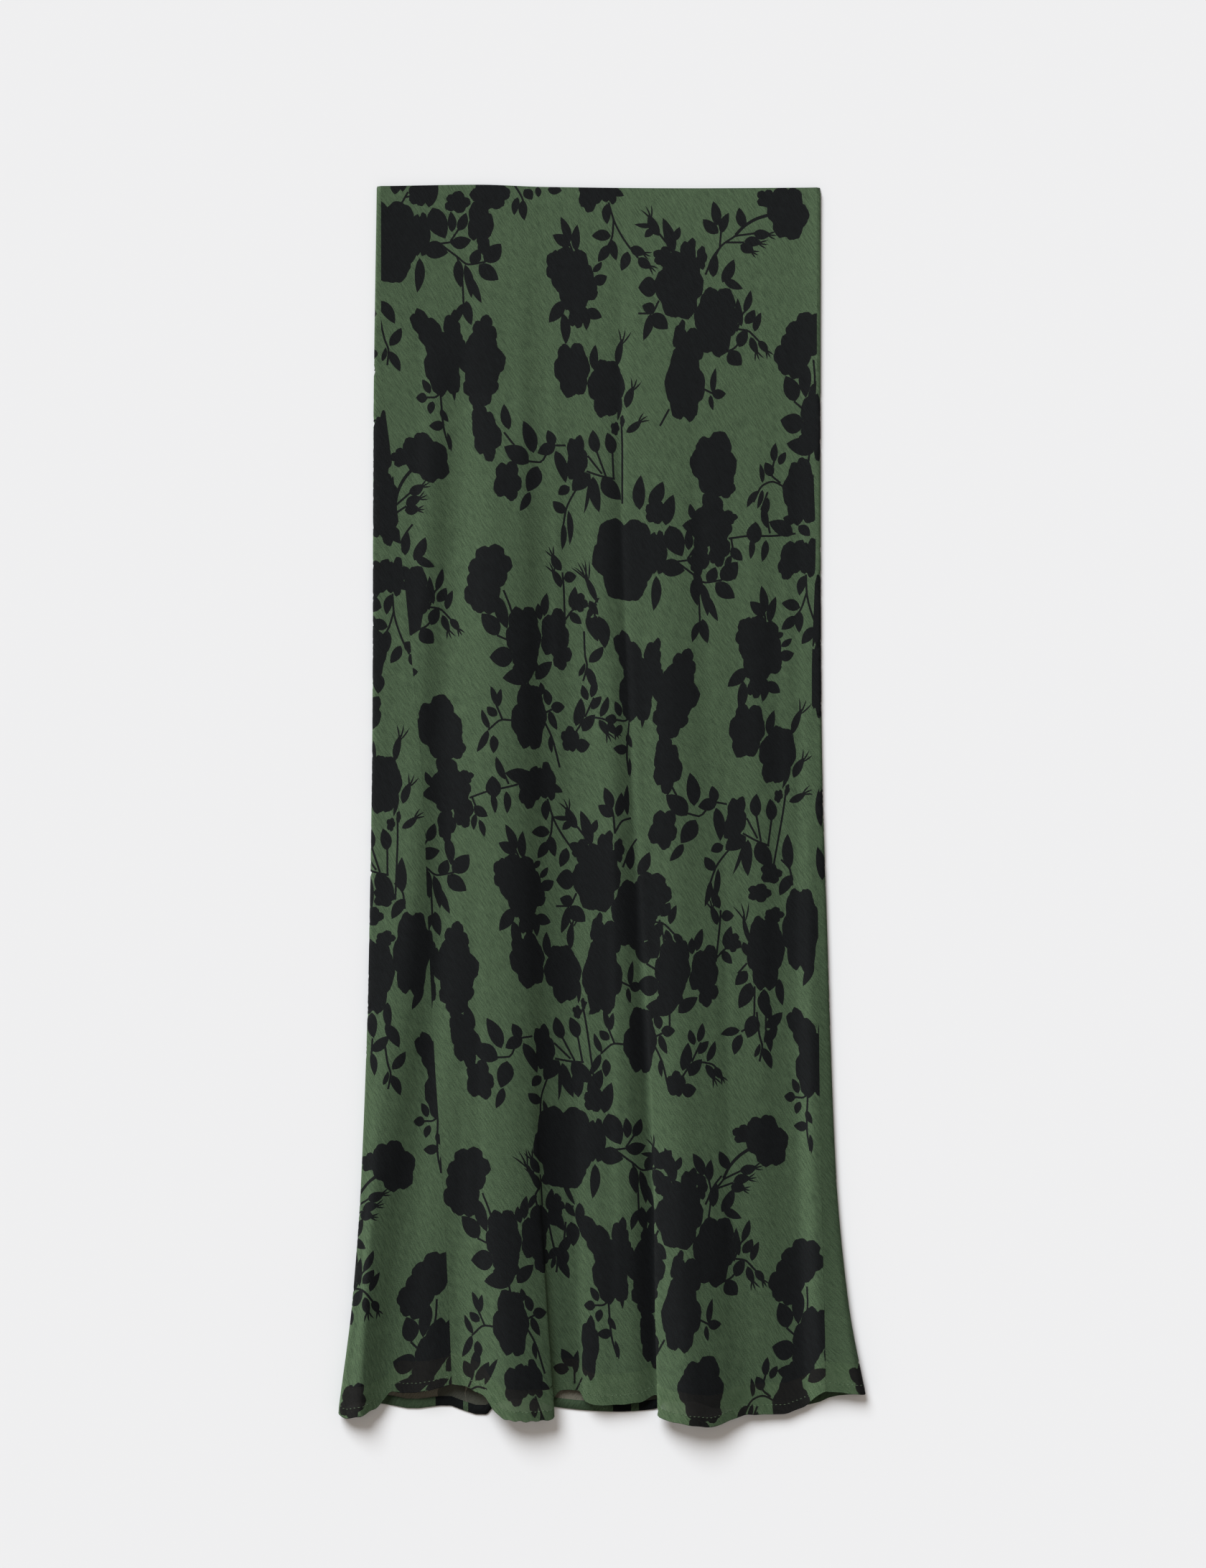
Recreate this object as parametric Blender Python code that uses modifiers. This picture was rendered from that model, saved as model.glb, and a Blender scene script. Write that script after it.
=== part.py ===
"""A long column skirt of thin printed cloth, laid flat on its back.

The skirt is a tube of two panels. The back panel lies on the surface, turns up round both side
folds and meets the front panel at two side seams that show on top. The top layer carries soft
folds that grow into round flutes at the hem. Each panel ends in a narrow turned hem, which lies
on the panel's inner face.

Frame: metres, +X to the wearer's left as seen from above, +Y towards the waist, +Z up, and the
origin under the middle of the skirt. The tables below are in millimetres.
"""

from collections import namedtuple

import bpy
import numpy as np

MM = 0.001

# Cloth and making, in millimetres
CLOTH = 1.2
SEAM_GAP = 0.3
LAYER_GAP = 0.3
HEM_WIDTH = 7.0
HEM_WALL = 1.0

# Depth below the waist line of the highest waist point and the lowest hem point
WAIST_TOP = -1.7
HEM_BOTTOM = 956.6
MIDDLE = (WAIST_TOP + HEM_BOTTOM) / 2

# Depths below the waist at which the folds and the outline are given
STATIONS = (0, 200, 400, 600, 760, 860, 945)

# Outer edge of the laid skirt at each station
LEFT_EDGE = (-174.2, -176.9, -177.5, -180.4, -185.8, -192.8, -203.6)
RIGHT_EDGE = (169.2, 169.0, 169.7, 174.9, 180.8, 190.2, 206.2)

# Side folds: how far in the cloth turns over, and how high it stands there
SideFold = namedtuple("SideFold", "inset height hem_down")
LEFT_FOLD = SideFold(
    inset=(1.4, 1.5, 1.8, 2.6, 3.8, 5.2, 6.0),
    height=(2.8, 3.0, 3.5, 4.6, 6.4, 8.6, 10.5),
    hem_down=(947.8, 950.8),
)
RIGHT_FOLD = SideFold(
    inset=(1.4, 1.4, 1.5, 2.1, 3.0, 4.0, 4.6),
    height=(2.8, 2.8, 3.0, 3.8, 4.8, 6.8, 9.0),
    hem_down=(932.6, 932.8),
)

# Lines that run down the top layer, left to right. At each station: x of the line, and the
# height of the cloth there above the back panel. hem_down is where the line reaches the hem.
Fold = namedtuple("Fold", "name x height hem_down")
FOLDS = (
    Fold("left flute crest",
         (-152, -150, -158, -164, -175, -182, -187), (1.9, 3.2, 4.2, 5.6, 8.5, 11.5, 14.5), 950.5),
    Fold("left valley",
         (-106, -114, -129, -134, -152, -161.5, -168), (1.8, 1.8, 1.7, 1.7, 1.8, 2.6, 4.9), 935.6),
    Fold("left panel ridge",
         (-96, -99, -109, -113, -129, -134, -134), (1.9, 2.6, 3.0, 3.6, 5.0, 7.0, 9.0), 929.0),
    Fold("small valley",
         (-86, -91, -98, -103, -112, -113, -108), (1.9, 3.0, 3.6, 4.4, 4.8, 5.5, 8.0), 922.8),
    Fold("second flute crest",
         (-72, -78, -84, -87, -83, -75, -65), (1.9, 3.4, 4.4, 5.6, 8.5, 13.5, 18.0), 955.0),
    Fold("second flute edge",
         (-58, -60, -58, -56, -50.5, -43.4, -37.2), (1.9, 2.8, 3.4, 4.2, 6.0, 8.8, 12.0), 950.0),
    Fold("second flute tuck",
         (-53, -55, -53, -51, -47.8, -42.5, -38.4), (1.8, 2.2, 2.6, 3.0, 3.8, 5.0, 6.6), 941.0),
    Fold("centre valley",
         (-46, -47, -46, -43, -40, -36, -31), (1.8, 1.7, 1.7, 1.7, 1.8, 2.4, 3.4), 930.0),
    Fold("small pleat foot",
         (-26, -27, -26, -24, -22, -20, -19), (1.8, 2.3, 2.6, 2.6, 2.4, 2.6, 3.6), 929.6),
    Fold("small pleat tuck",
         (-20, -21, -20, -19, -17.5, -16.5, -16), (1.9, 2.6, 3.1, 3.3, 3.4, 3.8, 5.0), 932.0),
    Fold("small pleat edge",
         (-14, -15, -15, -14, -13, -12.5, -12.5), (1.9, 2.9, 3.6, 4.2, 4.8, 5.8, 8.0), 938.3),
    Fold("centre ridge",
         (-4, -5, -5, -2, 0, 0, 0), (1.9, 3.0, 4.0, 5.2, 6.4, 7.6, 9.5), 940.8),
    Fold("centre slope",
         (9, 8, 10, 18, 24, 26, 28), (1.9, 2.4, 3.0, 3.6, 4.2, 5.0, 6.0), 938.9),
    Fold("crease foot",
         (15, 13.5, 19.5, 28, 36, 38.5, 41), (1.8, 1.7, 1.7, 1.7, 1.8, 2.6, 3.4), 933.6),
    Fold("crease tuck",
         (17.5, 16, 22, 31.5, 39.8, 42.6, 46.4), (1.8, 2.2, 2.6, 3.0, 3.6, 4.4, 5.4), 936.5),
    Fold("third flute edge",
         (21, 19.5, 25.5, 34.5, 40.6, 41.4, 43.4), (1.9, 3.0, 4.0, 5.2, 6.4, 8.2, 10.0), 948.6),
    Fold("third flute crest",
         (44, 44, 50, 56, 60, 63, 67), (1.9, 4.0, 5.4, 7.4, 11.0, 15.0, 18.5), 954.8),
    Fold("third flute low point",
         (66, 66, 70, 75, 79, 81, 84), (1.9, 3.6, 4.8, 6.6, 9.6, 13.0, 15.5), 956.6),
    Fold("third flute end",
         (98, 98, 102, 106, 110, 111, 113), (1.9, 2.8, 3.4, 4.2, 5.4, 6.4, 7.4), 948.3),
    Fold("right panel",
         (124, 124, 126, 128, 131, 134, 138), (1.8, 2.2, 2.4, 2.8, 3.4, 4.4, 5.6), 948.0),
    Fold("right valley",
         (147, 150, 149, 149, 151, 153, 156), (1.8, 1.7, 1.7, 1.7, 1.8, 3.0, 5.0), 942.2),
    Fold("right ridge",
         (158, 159, 160, 162, 164, 168, 174), (1.9, 2.2, 2.8, 3.8, 5.4, 7.0, 9.0), 930.3),
)

# Side seams, where the back panel meets the front on the top layer: depth, left x, right x
SEAMS = (
    (0, -170.8, 166.0),
    (130, -170.8, 166.2),
    (215, -162.2, 163.7),
    (275, -155.5, 165.2),
    (380, -145.5, 162.2),
    (470, -138.0, 162.6),
    (560, -134.8, 166.8),
    (660, -130.0, 167.6),
    (760, -123.5, 168.9),
    (850, -119.0, 171.2),
    (945, -115.0, 173.0),
)

# Waist edge and the hem of the bottom layer: x, depth
WAIST_EDGE = ((-175, -0.5), (-95, -1.7), (-45, 0.0), (65, 1.1), (170, 0.5))
BACK_HEM = (
    (-203.6, 947.8), (-190, 939.5), (-168, 940.6), (-146, 944.4), (-118, 941.8),
    (-98, 948.8), (-83, 949.2), (-62, 942.0), (-36, 943.1), (12, 946.9),
    (42, 944.7), (90, 944.8), (139, 943.9), (170, 940.0), (184, 935.6), (203.6, 932.6),
)

# Mesh rows from waist to hem and columns across, as few as the shape needs
ROWS = 26
ROW_CROWDING = 1.35
FRONT_COLUMNS = 50
BACK_COLUMNS = {
    "right seam to the bottom": 12,
    "under the right side": 1,
    "bottom": 12,
    "under the left side": 1,
    "bottom to the left seam": 20,
}

# Share of a column by which the front hem ends short of each seam, where the bent cloth would
# otherwise press the two hems together
HEM_END = 0.15

GROUND_GREEN = (0.061, 0.089, 0.053)
HEM_GREEN = (0.040, 0.062, 0.036)


def slopes(values, step):
    """Slope of a smooth curve at each value along the first axis. It is level where the values
    turn, so the curve never overshoots."""
    secant = np.diff(values, axis=0) / step
    before, after = secant[:-1], secant[1:]
    same_way = before * after > 0
    total = np.where(same_way, before + after, 1.0)
    inner = np.where(same_way, 2 * before * after / total, 0.0)
    return np.concatenate([secant[:1], inner, secant[-1:]])


def between(low, high, slope_low, slope_high, share, width):
    """Cubic from low to high with the given slopes, at a share of the way across the width."""
    rest = 1 - share
    level = (1 + 2 * share) * rest ** 2 * low + share ** 2 * (3 - 2 * share) * high
    return level + (share * rest ** 2 * slope_low - share ** 2 * rest * slope_high) * width


def smooth(at, values, where):
    """The smooth curve through values, given at the places in at, read at each place in where."""
    at = np.asarray(at, float)
    values = np.asarray(values, float)
    column = (-1,) + (1,) * (values.ndim - 1)
    where = np.clip(where, at[0], at[-1])
    slope = slopes(values, np.diff(at).reshape(column))
    index = np.clip(np.searchsorted(at, where, side="right") - 1, 0, len(at) - 2)
    width = at[index + 1] - at[index]
    share = ((where - at[index]) / width).reshape(column)
    return between(
        values[index], values[index + 1], slope[index], slope[index + 1],
        share, width.reshape(column),
    )


def fold_lines(edge, inward, fold):
    """Lines (x, height) of a side fold, from the bottom layer round its edge to its top. They
    stand at every 45 degrees of a half ellipse. inward is 1 on the left and -1 on the right."""
    middle = np.array(edge) + inward * (CLOTH / 2 + np.array(fold.inset))
    lines = [(middle + inward * np.array(fold.inset), np.zeros(len(STATIONS)))]
    for turn in np.radians((-90, -45, 0, 45, 90)):
        x = middle - inward * np.array(fold.inset) * np.cos(turn)
        lines.append((x, np.array(fold.height) * (1 + np.sin(turn)) / 2))
    return lines


def station_sections():
    """Control points (x, height) round the tube at each station, from under the left side fold
    over the top layer to under the right side fold."""
    lines = fold_lines(LEFT_EDGE, 1, LEFT_FOLD)
    lines += [(fold.x, fold.height) for fold in FOLDS]
    lines += fold_lines(RIGHT_EDGE, -1, RIGHT_FOLD)[::-1]
    return np.array(lines, float).transpose(2, 0, 1)


SECTIONS = station_sections()
LAST = SECTIONS.shape[1] - 1
LEFT_EDGE_LINE, LEFT_TOP_LINE = 3, 5
RIGHT_EDGE_LINE, RIGHT_TOP_LINE = LAST - 3, LAST - 5
HEM_DEPTH = STATIONS[-1]


def read_section(depths, lines):
    """Points (x, height) at the given depths and places round the tube, counted in lines. From
    LAST to LAST + 1 the line runs straight along the bottom layer, from right to left."""
    control = smooth(STATIONS, SECTIONS, depths).transpose(1, 0, 2)
    slope = slopes(control, 1.0)
    row = np.arange(len(depths))
    around = np.mod(lines, LAST + 1)
    index = np.minimum(around.astype(int), LAST - 1)
    share = np.minimum(around - index, 1.0)[:, None]
    turned = between(
        control[index, row], control[index + 1, row], slope[index, row], slope[index + 1, row],
        share, 1.0,
    )
    along = np.maximum(around - LAST, 0.0)[:, None]
    return turned + (control[0] - control[-1]) * along


def hem_down(lines):
    """Depth of the hem at places round the tube."""
    ends = SECTIONS[-1]
    back_x, back_down = np.array(BACK_HEM).T
    at_lines = smooth(back_x, back_down, ends[:, 0])
    for edge, top, (edge_down, top_down) in (
        (LEFT_EDGE_LINE, LEFT_TOP_LINE, LEFT_FOLD.hem_down),
        (RIGHT_EDGE_LINE, RIGHT_TOP_LINE, RIGHT_FOLD.hem_down),
    ):
        above = (edge + top) // 2
        below = 2 * edge - above
        at_lines[below] = (at_lines[below] + edge_down) / 2
        at_lines[edge] = edge_down
        at_lines[above] = (edge_down + top_down) / 2
        at_lines[top] = top_down
    at_lines[LEFT_TOP_LINE + 1:RIGHT_TOP_LINE] = [fold.hem_down for fold in FOLDS]
    around = np.mod(lines, LAST + 1)
    bottom_x = ends[-1, 0] + (ends[0, 0] - ends[-1, 0]) * (around - LAST)
    return np.where(
        around > LAST,
        smooth(back_x, back_down, bottom_x),
        smooth(np.arange(LAST + 1), at_lines, around),
    )


def seam_lines(side, shift):
    """Where round the tube a side seam lies, moved across by shift, at each of SEAM_DEPTHS."""
    down, left, right = np.array(SEAMS, float).T
    near = LEFT_SEAM_LINES if side == "left" else RIGHT_SEAM_LINES
    x = smooth(down, left if side == "left" else right, SEAM_DEPTHS) + shift
    fine = np.linspace(*near, 160)
    found = []
    for depth, seam_x in zip(SEAM_DEPTHS, x):
        across = read_section(np.full(len(fine), depth), fine)[:, 0]
        found.append(np.interp(seam_x, across, fine))
    return np.array(found)


SEAM_DEPTHS = np.linspace(0, HEM_BOTTOM, 160)
LEFT_SEAM_LINES = (LEFT_TOP_LINE, LEFT_TOP_LINE + 5)
RIGHT_SEAM_LINES = (RIGHT_TOP_LINE - 3, RIGHT_TOP_LINE)
HALF_GAP = SEAM_GAP / 2
FRONT_SIDES = seam_lines("left", HALF_GAP), seam_lines("right", -HALF_GAP)
BACK_SIDES = seam_lines("left", -HALF_GAP), seam_lines("right", HALF_GAP)


def front_lines(depths):
    """Places round the tube of the front panel's columns, from the left seam to the right one,
    each at its own depth."""
    left, right = (np.interp(depths, SEAM_DEPTHS, side) for side in FRONT_SIDES)
    return left + (right - left) * np.linspace(0, 1, len(depths))


def back_lines(depths):
    """Places round the tube of the back panel's columns, from the right seam round the right
    side fold, along the bottom layer and up round the left side fold to the left seam."""
    left, right = (np.interp(depths, SEAM_DEPTHS, side) for side in BACK_SIDES)
    ends = np.cumsum([0, *BACK_COLUMNS.values()])
    under = (LAST - 1, LAST, LAST + 1, LAST + 2)
    return np.array([
        np.interp(column, ends, (right[column], *under, LAST + 1 + left[column]))
        for column in range(len(depths))
    ])


def sheet_points(lines_at, columns):
    """Rows of points of the cloth's middle surface, in millimetres. Each column runs from the
    waist edge to its own hem depth, and the last two rows bound the turned hem."""
    hem = hem_down(lines_at(np.full(columns + 1, HEM_DEPTH)))
    waist_x = read_section(np.zeros(columns + 1), lines_at(np.zeros(columns + 1)))[:, 0]
    at, down = np.array(WAIST_EDGE, float).T
    waist = smooth(at, down, waist_x)
    turn = hem - HEM_WIDTH
    shares = 1 - (1 - np.linspace(0, 1, ROWS)) ** ROW_CROWDING
    rows = []
    for depths in [*(waist + (turn - waist) * share for share in shares), hem]:
        x, height = read_section(depths, lines_at(depths)).T
        rows.append(np.stack([x, MIDDLE - depths, CLOTH / 2 + height], axis=1))
    return np.array(rows)


def sheet_object(name, rows, inner, outer, material, collection):
    """A grid primitive whose vertices are moved to the rows of points, then thickened. The wall
    reaches from inner to outer, in millimetres out from those points."""
    down, across = rows.shape[:2]
    bpy.ops.mesh.primitive_grid_add(x_subdivisions=across - 1, y_subdivisions=down - 1)
    sheet = bpy.context.object
    sheet.name = name
    sheet.data.name = name
    grid = np.array([vertex.co[:] for vertex in sheet.data.vertices])
    column = np.rint((grid[:, 0] + 1) / 2 * (across - 1)).astype(int)
    row = np.rint((1 - grid[:, 1]) / 2 * (down - 1)).astype(int)
    sheet.data.vertices.foreach_set("co", (rows[row, column] * MM).astype(np.float32).ravel())
    sheet.data.update()
    sheet.data.shade_smooth()
    wall = sheet.modifiers.new("Cloth wall", "SOLIDIFY")
    wall.thickness = (outer - inner) * MM
    wall.offset = (outer + inner) / (outer - inner)
    wall.use_even_offset = True
    sheet.data.materials.append(material)
    for owner in list(sheet.users_collection):
        owner.objects.unlink(sheet)
    collection.objects.link(sheet)


def cloth_material(name, colour):
    material = bpy.data.materials.new(name)
    material.use_nodes = True
    shader = material.node_tree.nodes["Principled BSDF"]
    shader.inputs["Base Color"].default_value = (*colour, 1.0)
    shader.inputs["Roughness"].default_value = 0.85
    shader.inputs["Metallic"].default_value = 0.0
    return material


def build():
    for old in list(bpy.data.objects):
        bpy.data.objects.remove(old, do_unlink=True)
    skirt = bpy.data.collections.new("Column skirt")
    bpy.context.scene.collection.children.link(skirt)
    printed = cloth_material("Printed crepe", GROUND_GREEN)
    turned = cloth_material("Turned hem", HEM_GREEN)

    half = CLOTH / 2
    hem_top = -half - LAYER_GAP
    for side, lines_at, columns in (
        ("front", front_lines, FRONT_COLUMNS),
        ("back", back_lines, sum(BACK_COLUMNS.values())),
    ):
        rows = sheet_points(lines_at, columns)
        sheet_object(side + "_panel", rows, -half, half, printed, skirt)
        band = rows[-2:].copy()
        if side == "front":
            band[:, 0] += (band[:, 1] - band[:, 0]) * HEM_END
            band[:, -1] += (band[:, -2] - band[:, -1]) * HEM_END
        sheet_object(side + "_hem", band, hem_top - HEM_WALL, hem_top, turned, skirt)


build()
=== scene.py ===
# %% [markdown]
# A column skirt of printed crepe, laid flat. The real one is two panels of thin cloth sewn at the
# sides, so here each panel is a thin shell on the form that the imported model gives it. The lesson
# goes from the light and the shape, through the print, to the cloth's finish and the hems.

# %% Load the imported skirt
import math
from collections import namedtuple

import bpy
import numpy as np
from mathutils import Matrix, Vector, kdtree
from mathutils.geometry import delaunay_2d_cdt


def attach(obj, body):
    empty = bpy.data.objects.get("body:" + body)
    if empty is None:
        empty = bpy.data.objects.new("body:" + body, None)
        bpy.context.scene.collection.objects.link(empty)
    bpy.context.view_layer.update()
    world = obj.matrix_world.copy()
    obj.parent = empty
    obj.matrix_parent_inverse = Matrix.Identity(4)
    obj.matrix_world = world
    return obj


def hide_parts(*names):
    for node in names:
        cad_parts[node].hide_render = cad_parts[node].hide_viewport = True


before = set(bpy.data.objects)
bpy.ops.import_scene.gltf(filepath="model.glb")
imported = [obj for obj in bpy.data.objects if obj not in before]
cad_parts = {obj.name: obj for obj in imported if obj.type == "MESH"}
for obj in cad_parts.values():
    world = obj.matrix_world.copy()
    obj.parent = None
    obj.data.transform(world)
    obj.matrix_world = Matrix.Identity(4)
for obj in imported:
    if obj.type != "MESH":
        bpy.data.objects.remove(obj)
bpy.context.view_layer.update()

MM = 0.001
print("nodes:", sorted(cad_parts))

# %% [markdown]
# The camera looks straight down, as in the photograph of a garment laid on a table. A long lens
# keeps the sides upright. The light is a large soft one beyond the waist and a little to the
# left, so that the shadow on the table falls below the hem. Even light from all round, a little
# warmer, fills the shadows. Two more lamps light the cloth alone: one beyond the waist, and one
# low at the left, which grazes the folds and brings them out.

# %% Camera, floor and light
PHOTO_HIGH_MM = 1213.3
LENS_MM, SENSOR_MM = 100.0, 36.0
CAMERA_AT = (0.0008, 0.0158)
CLIP_END_M = 20
FLOOR_HALF_M = 60.0
FLOOR_DROP = -0.0002
WORLD_LIGHT = 0.36


def colour(hex_code):
    """An sRGB hex colour as linear red, green, blue and 1."""
    parts = [int(hex_code[i:i + 2], 16) / 255 for i in (1, 3, 5)]
    return (*(p / 12.92 if p <= 0.04045 else ((p + 0.055) / 1.055) ** 2.4 for p in parts), 1.0)


def add_camera():
    data = bpy.data.cameras.new("Camera")
    data.lens = LENS_MM
    data.sensor_width = SENSOR_MM
    data.clip_end = CLIP_END_M
    camera = bpy.data.objects.new("Camera", data)
    camera.location = (*CAMERA_AT, PHOTO_HIGH_MM * MM * LENS_MM / SENSOR_MM)
    bpy.context.scene.collection.objects.link(camera)
    bpy.context.scene.camera = camera


def add_lamp(name, kind, at, aim, strength, tint, lights_only=None, **shape):
    """A lamp at a place, turned to its aim. It lights everything, or only one collection."""
    data = bpy.data.lights.new(name, kind)
    for setting, value in shape.items():
        setattr(data, setting, value)
    data.energy = strength
    data.color = colour(tint)[:3]
    light = bpy.data.objects.new(name, data)
    light.location = at
    light.rotation_euler = (Vector(aim) - Vector(at)).to_track_quat("-Z", "Y").to_euler()
    if lights_only:
        light.light_linking.receiver_collection = lights_only
    bpy.context.scene.collection.objects.link(light)


def add_far_softbox(name, towards, width_degrees, strength, tint, lights_only=None):
    """A wide lamp so far off that its light comes from the same side everywhere."""
    add_lamp(name, "SUN", towards, (0, 0, 0), strength, tint, lights_only,
             angle=math.radians(width_degrees))


def add_node(tree, kind, links=None, **settings):
    """Adds a node. Settings name its properties or its inputs, and links gives what feeds them."""
    node = tree.nodes.new(kind)
    for name, value in settings.items():
        if hasattr(node, name):
            setattr(node, name, value)
        else:
            node.inputs[name.replace("_", " ")].default_value = value
    for name, source in (links or {}).items():
        tree.links.new(source, node.inputs[name])
    return node


def add_floor():
    mesh = bpy.data.meshes.new("Floor")
    far = FLOOR_HALF_M
    corners = [(-far, -far, 0), (far, -far, 0), (far, far, 0), (-far, far, 0)]
    mesh.from_pydata(corners, [], [(0, 1, 2, 3)])
    floor = bpy.data.objects.new("Floor", mesh)
    floor.location.z = FLOOR_DROP
    material = bpy.data.materials.new("Matt white paint on the table")
    material.use_nodes = True
    shader = material.node_tree.nodes["Principled BSDF"]
    shader.inputs["Base Color"].default_value = colour("#E9E9E9")
    shader.inputs["Roughness"].default_value = 0.9
    shader.inputs["Specular IOR Level"].default_value = 0.0
    mesh.materials.append(material)
    bpy.context.scene.collection.objects.link(floor)


add_camera()
add_floor()
add_far_softbox("Far softbox", (-1.0, 2.1, 1.85), 34, 3.92, "#F4F9FF")
SKIRT_ONLY = bpy.data.collections.new("Lit by the two lamps for the cloth")
add_lamp("Waist softbox", "AREA", (0.35, 1.05, 0.75), (0, 0.35, 0), 7.5, "#FFFDF8", SKIRT_ONLY,
         size=0.7)
add_far_softbox("Low side softbox", (-1.0, 0.4, 0.27), 20, 6.0, "#FFFDF8", SKIRT_ONLY)
world = bpy.data.worlds.new("Even studio light")
world.use_nodes = True
background = world.node_tree.nodes["Background"]
background.inputs["Color"].default_value = colour("#FFF4E9")
background.inputs["Strength"].default_value = WORLD_LIGHT
bpy.context.scene.world = world
bpy.context.scene.view_settings.view_transform = "Standard"
print("camera", round(bpy.context.scene.camera.location.z, 3), "m above the table")

# %% [markdown]
# The laid skirt is a flattened tube. Its cross-section changes from waist to hem: nearly flat at
# the waist, and lifted into flutes at the hem. Lines that run down the cloth carry its height, and
# a smooth curve through them gives every section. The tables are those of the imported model, so
# that the shell lies where the solid is. Only the back's hem has a few more points here, which keep
# it higher under the second and third flute.

# %% The lines of the laid skirt, in millimetres
CLOTH = 1.2
ON_TABLE = 0.01
HEM_WIDTH = 7.0
WAIST_TOP, HEM_BOTTOM = -1.7, 956.6
MIDDLE = (WAIST_TOP + HEM_BOTTOM) / 2
STATIONS = (0, 200, 400, 600, 760, 860, 945)
LEFT_EDGE = (-174.2, -176.9, -177.5, -180.4, -185.8, -192.8, -203.6)
RIGHT_EDGE = (169.2, 169.0, 169.7, 174.9, 180.8, 190.2, 206.2)
SideFold = namedtuple("SideFold", "inset height hem_down")
LEFT_FOLD = SideFold(
    inset=(1.4, 1.5, 1.8, 2.6, 3.8, 5.2, 6.0),
    height=(2.8, 3.0, 3.5, 4.6, 6.4, 8.6, 10.5),
    hem_down=(947.8, 950.8),
)
RIGHT_FOLD = SideFold(
    inset=(1.4, 1.4, 1.5, 2.1, 3.0, 4.0, 4.6),
    height=(2.8, 2.8, 3.0, 3.8, 4.8, 6.8, 9.0),
    hem_down=(932.6, 932.8),
)
Fold = namedtuple("Fold", "name x height hem_down")
FOLDS = (
    Fold("left flute crest",
         (-152, -150, -158, -164, -175, -182, -187), (1.9, 3.2, 4.2, 5.6, 8.5, 11.5, 14.5), 950.5),
    Fold("left valley",
         (-106, -114, -129, -134, -152, -161.5, -168), (1.8, 1.8, 1.7, 1.7, 1.8, 2.6, 4.9), 935.6),
    Fold("left panel ridge",
         (-96, -99, -109, -113, -129, -134, -134), (1.9, 2.6, 3.0, 3.6, 5.0, 7.0, 9.0), 929.0),
    Fold("small valley",
         (-86, -91, -98, -103, -112, -113, -108), (1.9, 3.0, 3.6, 4.4, 4.8, 5.5, 8.0), 922.8),
    Fold("second flute crest",
         (-72, -78, -84, -87, -83, -75, -65), (1.9, 3.4, 4.4, 5.6, 8.5, 13.5, 18.0), 955.0),
    Fold("second flute edge",
         (-58, -60, -58, -56, -50.5, -43.4, -37.2), (1.9, 2.8, 3.4, 4.2, 6.0, 8.8, 12.0), 950.0),
    Fold("second flute tuck",
         (-53, -55, -53, -51, -47.8, -42.5, -38.4), (1.8, 2.2, 2.6, 3.0, 3.8, 5.0, 6.6), 941.0),
    Fold("centre valley",
         (-46, -47, -46, -43, -40, -36, -31), (1.8, 1.7, 1.7, 1.7, 1.8, 2.4, 3.4), 930.0),
    Fold("small pleat foot",
         (-26, -27, -26, -24, -22, -20, -19), (1.8, 2.3, 2.6, 2.6, 2.4, 2.6, 3.6), 929.6),
    Fold("small pleat tuck",
         (-20, -21, -20, -19, -17.5, -16.5, -16), (1.9, 2.6, 3.1, 3.3, 3.4, 3.8, 5.0), 932.0),
    Fold("small pleat edge",
         (-14, -15, -15, -14, -13, -12.5, -12.5), (1.9, 2.9, 3.6, 4.2, 4.8, 5.8, 8.0), 938.3),
    Fold("centre ridge",
         (-4, -5, -5, -2, 0, 0, 0), (1.9, 3.0, 4.0, 5.2, 6.4, 7.6, 9.5), 940.8),
    Fold("centre slope",
         (9, 8, 10, 18, 24, 26, 28), (1.9, 2.4, 3.0, 3.6, 4.2, 5.0, 6.0), 938.9),
    Fold("crease foot",
         (15, 13.5, 19.5, 28, 36, 38.5, 41), (1.8, 1.7, 1.7, 1.7, 1.8, 2.6, 3.4), 933.6),
    Fold("crease tuck",
         (17.5, 16, 22, 31.5, 39.8, 42.6, 46.4), (1.8, 2.2, 2.6, 3.0, 3.6, 4.4, 5.4), 936.5),
    Fold("third flute edge",
         (21, 19.5, 25.5, 34.5, 40.6, 41.4, 43.4), (1.9, 3.0, 4.0, 5.2, 6.4, 8.2, 10.0), 948.6),
    Fold("third flute crest",
         (44, 44, 50, 56, 60, 63, 67), (1.9, 4.0, 5.4, 7.4, 11.0, 15.0, 18.5), 954.8),
    Fold("third flute low point",
         (66, 66, 70, 75, 79, 81, 84), (1.9, 3.6, 4.8, 6.6, 9.6, 13.0, 15.5), 956.6),
    Fold("third flute end",
         (98, 98, 102, 106, 110, 111, 113), (1.9, 2.8, 3.4, 4.2, 5.4, 6.4, 7.4), 948.3),
    Fold("right panel",
         (124, 124, 126, 128, 131, 134, 138), (1.8, 2.2, 2.4, 2.8, 3.4, 4.4, 5.6), 948.0),
    Fold("right valley",
         (147, 150, 149, 149, 151, 153, 156), (1.8, 1.7, 1.7, 1.7, 1.8, 3.0, 5.0), 942.2),
    Fold("right ridge",
         (158, 159, 160, 162, 164, 168, 174), (1.9, 2.2, 2.8, 3.8, 5.4, 7.0, 9.0), 930.3),
)
SEAMS = (
    (0, -170.8, 166.0),
    (130, -170.8, 166.2),
    (215, -162.2, 163.7),
    (275, -155.5, 165.2),
    (380, -145.5, 162.2),
    (470, -138.0, 162.6),
    (560, -134.8, 166.8),
    (660, -130.0, 167.6),
    (760, -123.5, 168.9),
    (850, -119.0, 171.2),
    (945, -115.0, 173.0),
)
WAIST_EDGE = ((-175, -0.5), (-95, -1.7), (-45, 0.0), (65, 1.1), (170, 0.5))
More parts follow.
